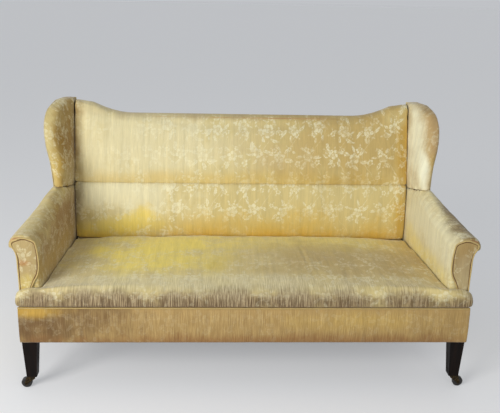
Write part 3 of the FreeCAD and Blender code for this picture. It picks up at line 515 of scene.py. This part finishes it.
def hold_arm(points, normals):
    """Held on the outer side below the roll, underneath and at both ends."""
    side = np.sign(points[:, X]).mean()
    outer = facing(normals, X, side) * (points[:, Z] < ROLL_LOW)
    low = facing(normals, Z, -1)
    ends = facing(np.abs(normals), Y, 1)
    return np.maximum.reduce([outer, low, ends])


def hold_wing(points, normals):
    """Held on the outer side, underneath and behind."""
    side = np.sign(points[:, X]).mean()
    outer = facing(normals, X, side)
    return np.maximum.reduce([outer, facing(normals, Z, -1), facing(normals, Y, 1)])


pads = {"seat_pad": Pad("seat_pad", hold_seat, 0.010, 12)}
pads["inside_back_lower"] = Pad("inside_back_lower", hold_back, 0.007)
pads["inside_back_upper"] = Pad("inside_back_upper", hold_back, 0.008)
for side in ("left", "right"):
    pads[side + "_inside_arm"] = Pad(side + "_inside_arm", hold_arm, 0.004, 6,
                                     filled_by=side + "_arm_board")
    pads[side + "_inside_wing"] = Pad(side + "_inside_wing", hold_wing, 0.004, 6)

FRAMES = 14
for pad in pads.values():
    pad.blow()
for step in range(1, FRAMES + 1):
    scene.frame_set(step)
for pad in pads.values():
    pad.settle()
scene.frame_set(1)


# Each pad's own creases, lumps and cloth coordinates

def crease(points, start, end, depth, wide):
    """A sharp fold in the cover from start to end in plan, deepest at its middle."""
    first, last = np.array(start), np.array(end)
    run = last - first
    along = np.clip(((points[:, :2] - first) @ run) / (run @ run), 0, 1)
    off = np.linalg.norm(points[:, :2] - first - along[:, None] * run, axis=1)
    strength = np.sin(np.pi * np.clip(along, 0.02, 0.98)) ** 0.6
    return strength * depth * (-np.exp(-(off / wide) ** 2) + 0.6 * np.exp(-((off - 1.8 * wide) / wide) ** 2))


def gathers(along, away, reach, pitch, seed):
    """Small pulls that run in from a seam and die out within reach."""
    wave = np.array([noise.noise(Vector((a / pitch, seed, 0.3 * b / pitch))) for a, b in zip(along, away)])
    return wave * np.exp(-np.maximum(away, 0) / reach)


def drawn(points, axis, seam, reach, fade=0.007):
    """Draw a pad's rounded rim towards its seam, from whichever side it lies on, to close the groove."""
    off = points[:, axis] - seam
    points[:, axis] -= np.sign(off) * reach * np.exp(-np.abs(off) / fade)


SEAT_CREASES = (
    ((0.245, 0.03), (0.262, -0.20), 0.0035, 0.007),
    ((0.262, -0.20), (0.275, -0.36), 0.0020, 0.009),
    ((0.318, -0.10), (0.322, -0.22), 0.0020, 0.008),
    ((0.42, -0.22), (0.40, -0.38), 0.0022, 0.011),
    ((0.10, -0.10), (0.085, -0.30), 0.0016, 0.012),
    ((-0.10, -0.12), (-0.16, -0.30), 0.0016, 0.010),
    ((0.56, -0.26), (0.60, -0.40), 0.0020, 0.012),
    ((-0.42, -0.05), (-0.38, -0.32), 0.0014, 0.014),
)

seat = pads["seat_pad"].piece
co = points_of(seat.data)
top = ramp(normals_of(seat.data)[:, Z], 0.2, 0.8)
front = ramp(-co[:, Y], 0.36, 0.43) * ramp(co[:, Z], 0.372, 0.39)
amount = lumps(co, 0.16, 1) * 0.0035 * top + lumps(co, 0.05, 2) * 0.0008 * top
for start, end, depth, wide in SEAT_CREASES:
    amount += crease(co, start, end, depth, wide) * top
amount += front * gathers(co[:, X], np.maximum(co[:, Z] - 0.365, 0), 0.05, 0.022, 3) * 0.0035
amount += top * gathers(co[:, X], 0.235 - co[:, Y], 0.03, 0.05, 4) * 0.006
put_points(seat.data, bumped(co, normals_of(seat.data), amount))
set_cloth(seat.data, co[:, X], co[:, Y] - np.maximum(0, 0.432 - co[:, Z]))

BACK_SEAM, BACK_END = 0.675, 0.779
SEAM_DRAW, END_DRAW, SIDE_DRAW = 0.005, 0.002, 0.004
for name in ("inside_back_lower", "inside_back_upper"):
    piece = pads[name].piece
    co = points_of(piece.data)
    drawn(co, Z, BACK_SEAM, SEAM_DRAW)
    for end in (-BACK_END, BACK_END):
        drawn(co, X, end, END_DRAW)
    put_points(piece.data, co)
    face = ramp(-normals_of(piece.data)[:, Y], 0.1, 0.7)
    amount = lumps(co, 0.14, 5) * 0.0022 * face + lumps(co, 0.045, 6) * 0.0006 * face
    amount += face * gathers(co[:, X], np.abs(co[:, Z] - BACK_SEAM), 0.03, 0.03, 7) * 0.0022
    if name == "inside_back_upper":
        join = np.exp(-((co[:, X] - 0.002 - 0.004 * np.sin(co[:, Z] * 9)) / 0.0045) ** 2)
        amount -= join * face * 0.0022
    put_points(piece.data, bumped(co, normals_of(piece.data), amount))
    set_cloth(piece.data, co[:, X], co[:, Z] + np.maximum(0, co[:, Y] - 0.385))

# The middle of the arm's rolled top at four places from front to back, and the seam behind it

ROLL_R = 0.058
ROLL_Y = (-0.377, -0.278, -0.078, 0.069)
ROLL_Z = (0.585, 0.596, 0.629, 0.657)
ROLL_X = (0.864, 0.858, 0.843, 0.823)
SIDE_SEAM = ((0.070, 0.711), (0.342, 0.649))


def to_side_seam(points, reach):
    """Draw the rims of the arm and the wing together along the slanting seam between them."""
    (front_y, front_z), (rear_y, rear_z) = SIDE_SEAM
    slope = (rear_z - front_z) / (rear_y - front_y)
    seam = front_z + slope * (np.minimum(points[:, Y], rear_y) - front_y)
    off = points[:, Z] - seam
    points[:, Z] -= np.sign(off) * reach * np.exp(-np.abs(off) / 0.008)
    return points


for side, sign in (("left", -1), ("right", 1)):
    piece = pads[side + "_inside_arm"].piece
    co = to_side_seam(points_of(piece.data), SIDE_DRAW)
    put_points(piece.data, co)
    normals = normals_of(piece.data)
    amount = lumps(co, 0.10, 8 + sign) * 0.0018 + lumps(co, 0.035, 9 + sign) * 0.0005
    amount += gathers(co[:, Z] + np.abs(co[:, X]), co[:, Y] - ROLL_Y[0], 0.025, 0.016, 10) * 0.0018
    put_points(piece.data, bumped(co, normals, amount))
    across = np.abs(co[:, X])
    centre_z = np.interp(co[:, Y], ROLL_Y, ROLL_Z)
    centre_x = np.interp(co[:, Y], ROLL_Y, ROLL_X)
    angle = np.arctan2(co[:, Z] - centre_z, centre_x - across)
    angle = np.where(angle < -math.pi / 2, angle + 2 * math.pi, angle)
    wall = centre_z + np.minimum(co[:, Z] - centre_z, 0)
    set_cloth(piece.data, co[:, Y], np.where(angle > 0, centre_z + ROLL_R * angle, wall))

    piece = pads[side + "_inside_wing"].piece
    co = to_side_seam(points_of(piece.data), SIDE_DRAW)
    put_points(piece.data, co)
    amount = lumps(co, 0.09, 11 + sign) * 0.0016 + lumps(co, 0.03, 12 + sign) * 0.0005
    put_points(piece.data, bumped(co, normals_of(piece.data), amount))
    set_cloth(piece.data, np.abs(co[:, X]) - 0.8 - co[:, Y], co[:, Z])


# Panels: flat covers rebuilt as an even grid on the outer face of their CAD solid

class Shell:
    """A CAD node's triangles, to be cut by a plane or met by a line."""

    def __init__(self, node):
        mesh = nodes[node].data
        mesh.calc_loop_triangles()
        self.points = points_of(mesh)
        self.faces = np.array([tuple(face.vertices) for face in mesh.loop_triangles])
        self.tree = BVHTree.FromPolygons(self.points.tolist(), self.faces.tolist())
        self.low, self.high = self.points.min(0), self.points.max(0)

    def span(self, axis, at, across):
        first = self.faces[:, [0, 1, 2]].ravel()
        second = self.faces[:, [1, 2, 0]].ravel()
        a, b = self.points[first], self.points[second]
        rise = b[:, axis] - a[:, axis]
        crossing = ((a[:, axis] - at) * (b[:, axis] - at) <= 0) & (np.abs(rise) > 1e-9)
        run = (at - a[crossing, axis]) / rise[crossing]
        met = a[crossing, across] + (b[crossing, across] - a[crossing, across]) * run
        return met.min(), met.max()

    def meet(self, point, axis, sign):
        """Where a line along an axis, from the side that sign gives, first meets the node."""
        start = Vector(point)
        start[axis] = (self.high if sign > 0 else self.low)[axis] + sign
        way = Vector((0, 0, 0))
        way[axis] = -sign
        found = self.tree.ray_cast(start, way)[0]
        return None if found is None else found[axis]


def shares(count):
    """Even steps from 0 to 1 with close ones at both ends, to hold a crisp border."""
    close = 0.35 / count
    inner = [step / count for step in range(1, count)]
    return [0.0, close] + inner + [1 - close, 1.0]


# How far inside a panel's edge its rows start, and its face is measured: close to the edge, then farther in
RIM = 0.0004
NEAR_EDGE, FARTHER_IN = 0.0008, 0.01
COVER_THICK, FACING_THICK, CAMBRIC_THICK = 0.0022, 0.005, 0.0012


def panel(node, name, rows, row_axis, across_axis, out_axis, sign, columns, lift, thick=COVER_THICK,
          outer_edge=None):
    """rows are heights along row_axis. lift(points) is how far the cover stands off the CAD face.
    outer_edge gives how far from the middle a row reaches at least."""
    shell = Shell(node)
    steps = shares(columns)
    grid = []
    for at in rows:
        low, high = shell.span(row_axis, at, across_axis)
        first, last = low, high
        if outer_edge:
            reach = outer_edge(at)
            first, last = (min(low, -reach), high) if high < 0 else (low, max(high, reach))
        for share in steps:
            point = [0.0, 0.0, 0.0]
            point[row_axis] = at
            inset = min(max(share, NEAR_EDGE), 1 - NEAR_EDGE)
            point[across_axis] = low + (high - low) * inset
            met = shell.meet(point, out_axis, sign)
            if met is None:
                point[across_axis] = low + (high - low) * min(max(share, FARTHER_IN), 1 - FARTHER_IN)
                met = shell.meet(point, out_axis, sign)
            point[across_axis] = first + (last - first) * share
            point[out_axis] = met if met is not None else grid[-1][out_axis]
            grid.append(point)
    wide = len(steps)
    faces = []
    for row in range(len(rows) - 1):
        for column in range(wide - 1):
            corner = row * wide + column
            faces.append((corner, corner + 1, corner + wide + 1, corner + wide))
    mesh = bpy.data.meshes.new(name)
    mesh.from_pydata(grid, [], faces)
    mesh.update()
    if mesh.polygons[len(faces) // 2].normal[out_axis] * sign < 0:
        mesh.flip_normals()
    piece = link(name, mesh)
    points = points_of(mesh)
    put_points(mesh, bumped(points, normals_of(mesh), lift(points)))
    solid = piece.modifiers.new("thickness", "SOLIDIFY")
    solid.thickness = thick
    solid.offset = -1
    evaluated(piece)
    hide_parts(node)
    cells = np.array(grid).reshape(len(rows), wide, 3)
    return piece, cells


def even(low, high, count):
    return [low + (high - low) * share for share in shares(count)]


def border_lift(points):
    """The border's slack cloth, its pulls from the seam above, and its edges turned in."""
    slack = lumps(points, 0.05, 21) * 0.0007
    pull = gathers(points[:, X], 0.352 - points[:, Z], 0.06, 0.014, 22) * 0.0016
    rim = np.minimum(points[:, Z] - 0.211, 0.365 - points[:, Z])
    return slack + pull - 0.0022 * np.exp(-np.maximum(rim, 0) / 0.004)


def flat_lift(points):
    return lumps(points, 0.12, 23) * 0.0009


low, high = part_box("front_border")
border, border_grid = panel("front_border", "front_border_cover", even(low[2] + RIM, high[2] - RIM, 22),
                            Z, X, Y, -1, columns=260, lift=border_lift)
co = points_of(border.data)
set_cloth(border.data, co[:, X], co[:, Z])

low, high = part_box("outside_back")
# Half of the outside back's columns, close together where its top edge curves
half = [0.0, 0.13, 0.26, 0.39, 0.52, 0.56, 0.60, 0.63, 0.65, 0.67, 0.69, 0.71, 0.74, 0.7785,
        0.7805, 0.80, 0.8255, 0.832, high[0] - 0.0006]
columns = [-x for x in reversed(half[1:])] + half
outside_back, back_grid = panel("outside_back", "outside_back_cover", columns, X, Z, Y, 1,
                                columns=30, lift=flat_lift)
co = points_of(outside_back.data)
set_cloth(outside_back.data, co[:, X], co[:, Z])

# The outer edge of the arm facing: straight up the side, then out round the scroll
FACING_EDGE = ((0.375, 0.8835), (0.552, 0.8835), (0.578, 0.889), (0.596, 0.902), (0.612, 0.909),
               (0.622, 0.904), (0.628, 0.892), (0.632, 0.866))
outer_grids = {}
for side, sign in (("left", -1), ("right", 1)):
    for part, count in (("outside_arm", 30), ("outside_wing", 26)):
        low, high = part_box("%s_%s" % (side, part))
        cover, grid = panel("%s_%s" % (side, part), "%s_%s_cover" % (side, part),
                            even(low[2] + RIM, high[2] - RIM, count), Z, Y, X, sign,
                            columns=40, lift=flat_lift)
        co = points_of(cover.data)
        set_cloth(cover.data, co[:, Y], co[:, Z])
        outer_grids[side, part] = cover, grid
    low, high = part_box(side + "_arm_facing")
    cover, grid = panel(side + "_arm_facing", side + "_arm_facing_cover",
                        even(low[2] + RIM, high[2] - RIM, 40), Z, X, Y, -1, columns=16,
                        lift=lambda points: lumps(points, 0.03, 24) * 0.0008, thick=FACING_THICK,
                        outer_edge=lambda height: float(np.interp(height, *zip(*FACING_EDGE))))
    co = points_of(cover.data)
    set_cloth(cover.data, co[:, X], co[:, Z])
    outer_grids[side, "arm_facing"] = cover, grid

low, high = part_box("bottom_cloth")
bottom, bottom_grid = panel("bottom_cloth", "bottom_cloth_sheet", even(low[1] + RIM, high[1] - RIM, 24),
                            Y, X, Z, -1, columns=48, lift=lambda points: lumps(points, 0.2, 25) * 0.0004,
                            thick=CAMBRIC_THICK)
co = points_of(bottom.data)
set_cloth(bottom.data, co[:, X], co[:, Y])


# Welts and seams

def welt(name, points, radius):
    """Piping sewn along a seam, as a mesh tube that the damask can cover."""
    curve = bpy.data.curves.new(name, "CURVE")
    curve.dimensions = "3D"
    curve.bevel_depth = radius
    curve.bevel_resolution = 3
    curve.resolution_u = 6
    line = curve.splines.new("NURBS")
    line.points.add(len(points) - 1)
    for place, point in zip(line.points, points):
        place.co = (*point, 1)
    line.order_u = 3
    line.use_endpoint_u = True
    maker = link(name + "_line", curve)
    graph = bpy.context.evaluated_depsgraph_get()
    mesh = bpy.data.meshes.new_from_object(maker.evaluated_get(graph))
    bpy.data.objects.remove(maker)
    piece = link(name, mesh)
    co = points_of(mesh)
    set_cloth(mesh, co[:, X] + co[:, Y], co[:, Z])
    return piece


welts = []
inner_welts = []
WELT, WELT_STEP, BORDER_WELT = 0.0029, 0.0004, 0.0021
RING_SHIFTS = (0.003, -0.0026)
for side, sign in (("left", -1), ("right", 1)):
    grid = outer_grids[side, "arm_facing"][1]
    inner_line = grid[:, 0] if sign > 0 else grid[:, -1]
    outer_line = grid[:, -1] if sign > 0 else grid[:, 0]
    top_line = grid[-1] if sign > 0 else grid[-1][::-1]
    outline = np.concatenate([inner_line[::3], top_line[::3], outer_line[::-3]])
    centre = outline.mean(0)
    for index, shift in enumerate(RING_SHIFTS):
        ring = outline.copy()
        away = ring - centre
        away[:, Y] = 0
        away /= np.linalg.norm(away, axis=1, keepdims=True)
        ring += away * shift
        ring[:, Y] = outline[:, Y].min() - 0.0012 + 0.0008 * index
        ring_welt = welt("%s_facing_welt_%d" % (side, index + 1), ring.tolist(), WELT - WELT_STEP * index)
        (inner_welts if index else welts).append(ring_welt)

line = border_grid[-2].copy()
line[:, Y] = border_grid[:, :, Y].min() - 0.0002
line[:, Z] += 0.0002
welts.append(welt("border_welt", line[::4].tolist(), BORDER_WELT))


# Materials of the soft pieces: the tones of the worn and faded cloth, and painted shade on the shaded corners
# and inner faces at the left, then where each one lies

YELLOW = (240, 218, 96)
STRAW = (214, 180, 84)
AMBER = (214, 172, 62)
# painted shade: a dark olive laid where the left wing and arm shade the back's left end, and on their own
# inner faces
PAINTED_SHADE_OLIVE = (152, 112, 22)
CREAM = (232, 226, 190)
GREY = (182, 166, 128)
TAN = (160, 130, 76)
# real dirt on the seat's lip and the border, and painted shade at the left end of the lower back beside the
# wing
DIRT_AND_SHADE_BROWN = (90, 62, 30)
ROSE = (190, 158, 106)

seat_cloth = damask("damask_seat", patches=(
    # painted shade: greyer and darker where the left arm shades the seat beside it
    (GREY, (-0.82, -0.20, 0.44), (0.12, 0.4, 0.3), 0.45),
    (YELLOW, (-0.36, -0.02, 0.45), (0.36, 0.30, 0.3), 0.95),
    (YELLOW, (0.30, 0.12, 0.45), (0.8, 0.18, 0.3), 0.65),
    (STRAW, (0.75, 0.0, 0.44), (0.16, 0.4, 0.3), 0.7),
    ((168, 138, 74), (0.45, -0.14, 0.44), (0.5, 0.24, 0.2), 0.6),
    (CREAM, (-0.2, -0.35, 0.44), (0.8, 0.07, 0.1), 0.4),
    (DIRT_AND_SHADE_BROWN, (0.0, -0.44, 0.385), (1.3, 0.04, 0.06), 1.0),
), frays=(
    ((96, 76, 50), (172, 152, 116), (0.0, -0.44, 0.395), (1.3, 0.06, 0.05), 0.85),
    ((162, 144, 104), (224, 214, 174), (0.2, -0.37, 0.44), (0.9, 0.07, 0.05), 0.4),
), motif=0.55, fade=(((0.1, 0.05, 0.45), (0.75, 0.35, 0.3), 0.75),))

lower_cloth = damask("damask_lower_back", patches=(
    (CREAM, (-0.55, 0.24, 0.61), (0.45, 0.2, 0.14), 0.7),
    # painted shade: the soft shadow in the lower back's left corner beside the wing
    (DIRT_AND_SHADE_BROWN, (-0.785, 0.24, 0.52), (0.05, 0.2, 0.25), 0.7),
    (STRAW, (0.0, 0.24, 0.42), (0.9, 0.2, 0.13), 0.7),
    (AMBER, (0.0, 0.25, 0.405), (0.95, 0.2, 0.05), 0.75),
    (AMBER, (0.80, 0.24, 0.52), (0.09, 0.2, 0.3), 0.95),
    (YELLOW, (-0.55, 0.24, 0.48), (0.25, 0.2, 0.07), 0.6),
), motif=0.85, fade=(((0, 0.24, 0.42), (1.0, 0.3, 0.13), 0.85), ((-0.76, 0.24, 0.55), (0.25, 0.3, 0.2), 0.5)))

upper_cloth = damask("damask_upper_back", patches=(
    (CREAM, (-0.55, 0.3, 0.85), (0.70, 0.3, 0.3), 0.5),
    # painted shade: the soft shadow in the upper back's left corner beside the wing
    (PAINTED_SHADE_OLIVE, (-0.785, 0.3, 0.85), (0.045, 0.3, 0.4), 0.7),
    (STRAW, (0.0, 0.27, 0.69), (0.9, 0.2, 0.045), 0.45),
    (TAN, (0.1, 0.40, 1.0), (0.9, 0.06, 0.05), 0.5),
    (AMBER, (0.80, 0.3, 0.82), (0.07, 0.3, 0.3), 0.95),
    ((180, 146, 76), (0.55, 0.3, 0.86), (0.55, 0.3, 0.25), 0.55),
), motif=0.8, fade=(((-0.74, 0.3, 0.85), (0.36, 0.3, 0.3), 0.7), ((0, 0.28, 0.69), (1.0, 0.2, 0.05), 0.6),
                    ((0, 0.3, 1.0), (1.0, 0.3, 0.05), 0.6)))

border_cloth = damask("damask_border", ground=srgb(176, 146, 90), patches=(
    (DIRT_AND_SHADE_BROWN, (-0.82, -0.42, 0.27), (0.40, 0.1, 0.16), 0.95),
    (AMBER, (-0.84, -0.42, 0.345), (0.12, 0.1, 0.03), 0.6),
    (TAN, (0.15, -0.42, 0.24), (0.9, 0.1, 0.07), 0.4),
    (TAN, (0.85, -0.42, 0.26), (0.2, 0.1, 0.1), 0.6),
    ((138, 94, 48), (0.0, -0.42, 0.212), (1.2, 0.1, 0.04), 0.95),
    (STRAW, (0.45, -0.42, 0.31), (0.3, 0.1, 0.05), 0.4),
), frays=(((142, 110, 64), (190, 164, 110), (0.0, -0.42, 0.28), (1.1, 0.1, 0.12), 0.35),),
    motif=0.12, streak=0.3)

left_cloth = damask("damask_left_arm", patches=(
    # painted shade: the left arm's inner face, turned away from the light
    (PAINTED_SHADE_OLIVE, (-0.78, 0.0, 0.54), (0.06, 0.6, 0.18), 0.95),
    (STRAW, (-0.80, 0.0, 0.46), (0.05, 0.4, 0.08), 0.5),
    (TAN, (-0.90, -0.37, 0.60), (0.08, 0.05, 0.08), 0.5),
), motif=0.45)

right_cloth = damask("damask_right_arm", ground=srgb(214, 200, 150), patches=(
    (CREAM, (0.79, -0.1, 0.58), (0.06, 0.6, 0.14), 0.9),
    (YELLOW, (0.79, -0.05, 0.45), (0.05, 0.4, 0.06), 0.5),
    ((124, 100, 48), (0.91, -0.2, 0.66), (0.085, 0.5, 0.09), 1.0),
    (TAN, (0.88, -0.38, 0.60), (0.08, 0.04, 0.06), 0.4),
), frays=(((92, 70, 36), (170, 148, 94), (0.90, -0.14, 0.67), (0.06, 0.4, 0.06), 0.65),), motif=0.7)

left_wing_cloth = damask("damask_left_wing", ground=srgb(196, 178, 120), patches=(
    # painted shade: the left wing's inner face, turned away from the light
    (PAINTED_SHADE_OLIVE, (-0.80, 0.25, 0.86), (0.045, 0.35, 0.35), 0.9),
    (STRAW, (-0.83, 0.12, 0.78), (0.06, 0.2, 0.08), 0.4),
), motif=0.5)

right_wing_cloth = damask("damask_right_wing", ground=srgb(196, 172, 120), patches=(
    (ROSE, (0.87, 0.2, 0.90), (0.06, 0.3, 0.2), 1.0),
    (STRAW, (0.86, 0.1, 0.78), (0.06, 0.2, 0.08), 0.5),
    ((242, 238, 206), (0.80, 0.2, 0.85), (0.03, 0.3, 0.34), 1.0),
    (TAN, (0.86, 0.33, 1.04), (0.06, 0.1, 0.04), 0.6),
), motif=0.35)

facing_cloth = damask("damask_facing", ground=srgb(174, 152, 102), patches=(
    (TAN, (0.86, -0.38, 0.58), (0.06, 0.05, 0.09), 0.75),
    (GREY, (0.86, -0.38, 0.46), (0.05, 0.05, 0.12), 0.5),
    ((168, 112, 54), (-0.865, -0.38, 0.535), (0.03, 0.05, 0.014), 0.7),
    (YELLOW, (-0.86, -0.38, 0.44), (0.04, 0.05, 0.05), 0.3),
), motif=0.4)

outer_cloth = damask("damask_outside", ground=srgb(200, 180, 122), patches=(
    (TAN, (0.0, 0.40, 0.24), (1.2, 0.9, 0.12), 0.4),
    (STRAW, (0.3, 0.42, 0.7), (0.5, 0.9, 0.3), 0.35),
), motif=0.5)

welt_cloth = damask("damask_welt", ground=srgb(192, 168, 108), motif=0.0, streak=0.2)
dark_welt_cloth = damask("damask_welt_worn", ground=srgb(112, 82, 42), motif=0.0, streak=0.3)


def plain_weave(name, colour, dark, thread):
    """A coarse plain cloth with threads of the width given."""
    made, graph, shader = material(name, 0.8, Specular_IOR_Level=0.2)
    position = graph.add("TexCoord").outputs["Object"]
    x, y, z = graph.split(position)
    waves = [graph.math("SINE", graph.math("MULTIPLY", graph.math("ADD", way, z), 2 * math.pi / thread))
             for way in (x, y)]
    weave = graph.math("MULTIPLY", *waves)
    stain = graph.noise(position, 9.0, 4.0)
    mixed = graph.math("ADD", graph.math("MULTIPLY", weave, 0.25), stain, clamp=True)
    graph.put(shader["Base Color"], graph.mix(mixed, srgb(*dark), srgb(*colour)))
    graph.put(shader["Normal"], bump(graph, weave, 0.0004))
    return made


def wood(name, light, dark, rough, grain_axis, shine=0.4):
    """Straight-grained wood whose grain runs along the axis given."""
    made, graph, shader = material(name, None, Specular_IOR_Level=shine)
    position = graph.add("TexCoord").outputs["Object"]
    scale = [60.0, 60.0, 60.0]
    scale[grain_axis] = 3.5
    long_grain = graph.noise(graph.vector("MULTIPLY", position, tuple(scale)), 1.0, 5.0, 0.65)
    scale = [420.0, 420.0, 420.0]
    scale[grain_axis] = 9.0
    pores = graph.noise(graph.vector("MULTIPLY", position, tuple(scale)), 1.0, 2.0)
    worn = graph.noise(position, 16.0, 4.0)
    tone = graph.math("ADD", graph.math("MULTIPLY", long_grain, 0.75), graph.math("MULTIPLY", pores, 0.25))
    colour = graph.mix(graph.spread(tone, 0.35, 0.68), srgb(*dark), srgb(*light))
    graph.put(shader["Base Color"], colour)
    graph.put(shader["Roughness"], graph.spread(worn, 0.3, 0.7, rough - 0.1, rough + 0.12))
    graph.put(shader["Normal"], bump(graph, tone, 0.0004))
    return made


def metal(name, colour, tarnish, rough, metallic):
    """A cast or turned surface, clean in some spots and tarnished in others."""
    made, graph, shader = material(name, None, Metallic=metallic)
    position = graph.add("TexCoord").outputs["Object"]
    spots = graph.noise(position, 160.0, 4.0, 0.6)
    graph.put(shader["Base Color"], graph.mix(graph.spread(spots, 0.38, 0.62), srgb(*tarnish), srgb(*colour)))
    graph.put(shader["Roughness"], graph.spread(spots, 0.3, 0.7, rough + 0.15, rough - 0.05))
    graph.put(shader["Normal"], bump(graph, spots, 0.00015))
    return made


# Finish of every piece

for name, finish in (("seat_pad", seat_cloth), ("inside_back_lower", lower_cloth),
                     ("inside_back_upper", upper_cloth), ("left_inside_arm", left_cloth),
                     ("right_inside_arm", right_cloth), ("left_inside_wing", left_wing_cloth),
                     ("right_inside_wing", right_wing_cloth)):
    piece = dressed(pads[name].piece, finish)
    piece.modifiers.new("fine", "SUBSURF")
    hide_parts(name)

dressed(border, border_cloth)
dressed(outside_back, outer_cloth)
for (side, part), (cover, grid) in outer_grids.items():
    if part == "arm_facing":
        dressed(cover, facing_cloth)
    else:
        dressed(cover, outer_cloth)
for piece in welts:
    dressed(piece, welt_cloth)
for piece in inner_welts:
    dressed(piece, dark_welt_cloth)

dressed(bottom, plain_weave("black_cambric", (52, 47, 42), (30, 27, 25), 0.0016))

leg_wood = wood("dark_stained_wood", (24, 14, 9), (8, 5, 4), 0.6, Z, 0.12)
frame_wood = wood("beech_frame", (196, 158, 110), (158, 118, 76), 0.6, X)
castor_metal = metal("aged_brass", (74, 60, 38), (30, 26, 20), 0.42, 0.9)
castor_wheel = metal("dark_wheel", (30, 26, 22), (14, 12, 11), 0.45, 0.0)
spring_steel = metal("spring_steel", (140, 136, 130), (92, 74, 58), 0.4, 0.9)
jute = plain_weave("jute_webbing", (186, 156, 106), (140, 112, 70), 0.004)
hessian = plain_weave("hessian", (176, 148, 104), (128, 102, 66), 0.003)

FINISH = {
    "leg_wood": leg_wood, "frame_wood": frame_wood, "castor_metal": castor_metal,
    "castor_wheel": castor_wheel, "spring_steel": spring_steel, "jute": jute, "stuffing": hessian,
}
for entry in frame["record"]["subparts"]:
    if entry["material_slot"] in FINISH:
        node = nodes[entry["node"]]
        node.data.materials.clear()
        node.data.materials.append(FINISH[entry["material_slot"]])

# Floor, world and lamps

floor_mesh = bpy.data.meshes.new("floor")
FLOOR_REACH, FLOOR_GLOW, FILL_LIGHT = 40.0, 0.3, 0.42
corners = [(x * FLOOR_REACH, y * FLOOR_REACH, 0) for x, y in ((-1, -1), (1, -1), (1, 1), (-1, 1))]
floor_mesh.from_pydata(corners, [], [(0, 1, 2, 3)])
floor = link("floor", floor_mesh)
made, graph, shader = material("pale_floor", 0.8, Specular_IOR_Level=0.1)
graph.put(shader["Base Color"], srgb(206, 206, 206))
path = graph.add("LightPath").outputs
seen = graph.math("MAXIMUM", path["Is Camera Ray"], path["Is Glossy Ray"])
graph.put(shader["Emission Color"], srgb(240, 242, 246))
graph.put(shader["Emission Strength"], graph.math("MULTIPLY", seen, FLOOR_GLOW))
floor_mesh.materials.append(made)

world = bpy.data.worlds.new("studio")
scene.world = world
world.use_nodes = True
graph = Graph(world.node_tree)
world.node_tree.nodes.clear()
path = graph.add("LightPath").outputs
seen = graph.math("MAXIMUM", graph.math("MAXIMUM", path["Is Camera Ray"], path["Is Glossy Ray"]),
                  path["Is Transmission Ray"])
fill = graph.add("Background", (0.93, 0.96, 1.0, 1.0), FILL_LIGHT)
backdrop = graph.add("Background", srgb(192, 194, 198), 1.0)
both = graph.add("MixShader", seen, fill.outputs[0], backdrop.outputs[0])
graph.put(graph.add("OutputWorld").inputs[0], both.outputs[0])


def lamp(name, place, target, size, power, colour=(1, 1, 1)):
    light = bpy.data.lights.new(name, "AREA")
    light.shape = "RECTANGLE"
    light.size, light.size_y = size
    light.energy = power
    light.color = colour
    holder = bpy.data.objects.new(name, light)
    holder.location = place
    holder.rotation_euler = (Vector(target) - Vector(place)).to_track_quat("-Z", "Y").to_euler()
    scene.collection.objects.link(holder)


lamp("window", (-2.9, -3.5, 2.0), (0.0, 0.0, 0.6), (2.2, 2.0), 156, (1.0, 0.985, 0.96))
lamp("front", (0.6, -4.2, 2.6), (0.0, 0.0, 0.6), (3.0, 2.0), 38)
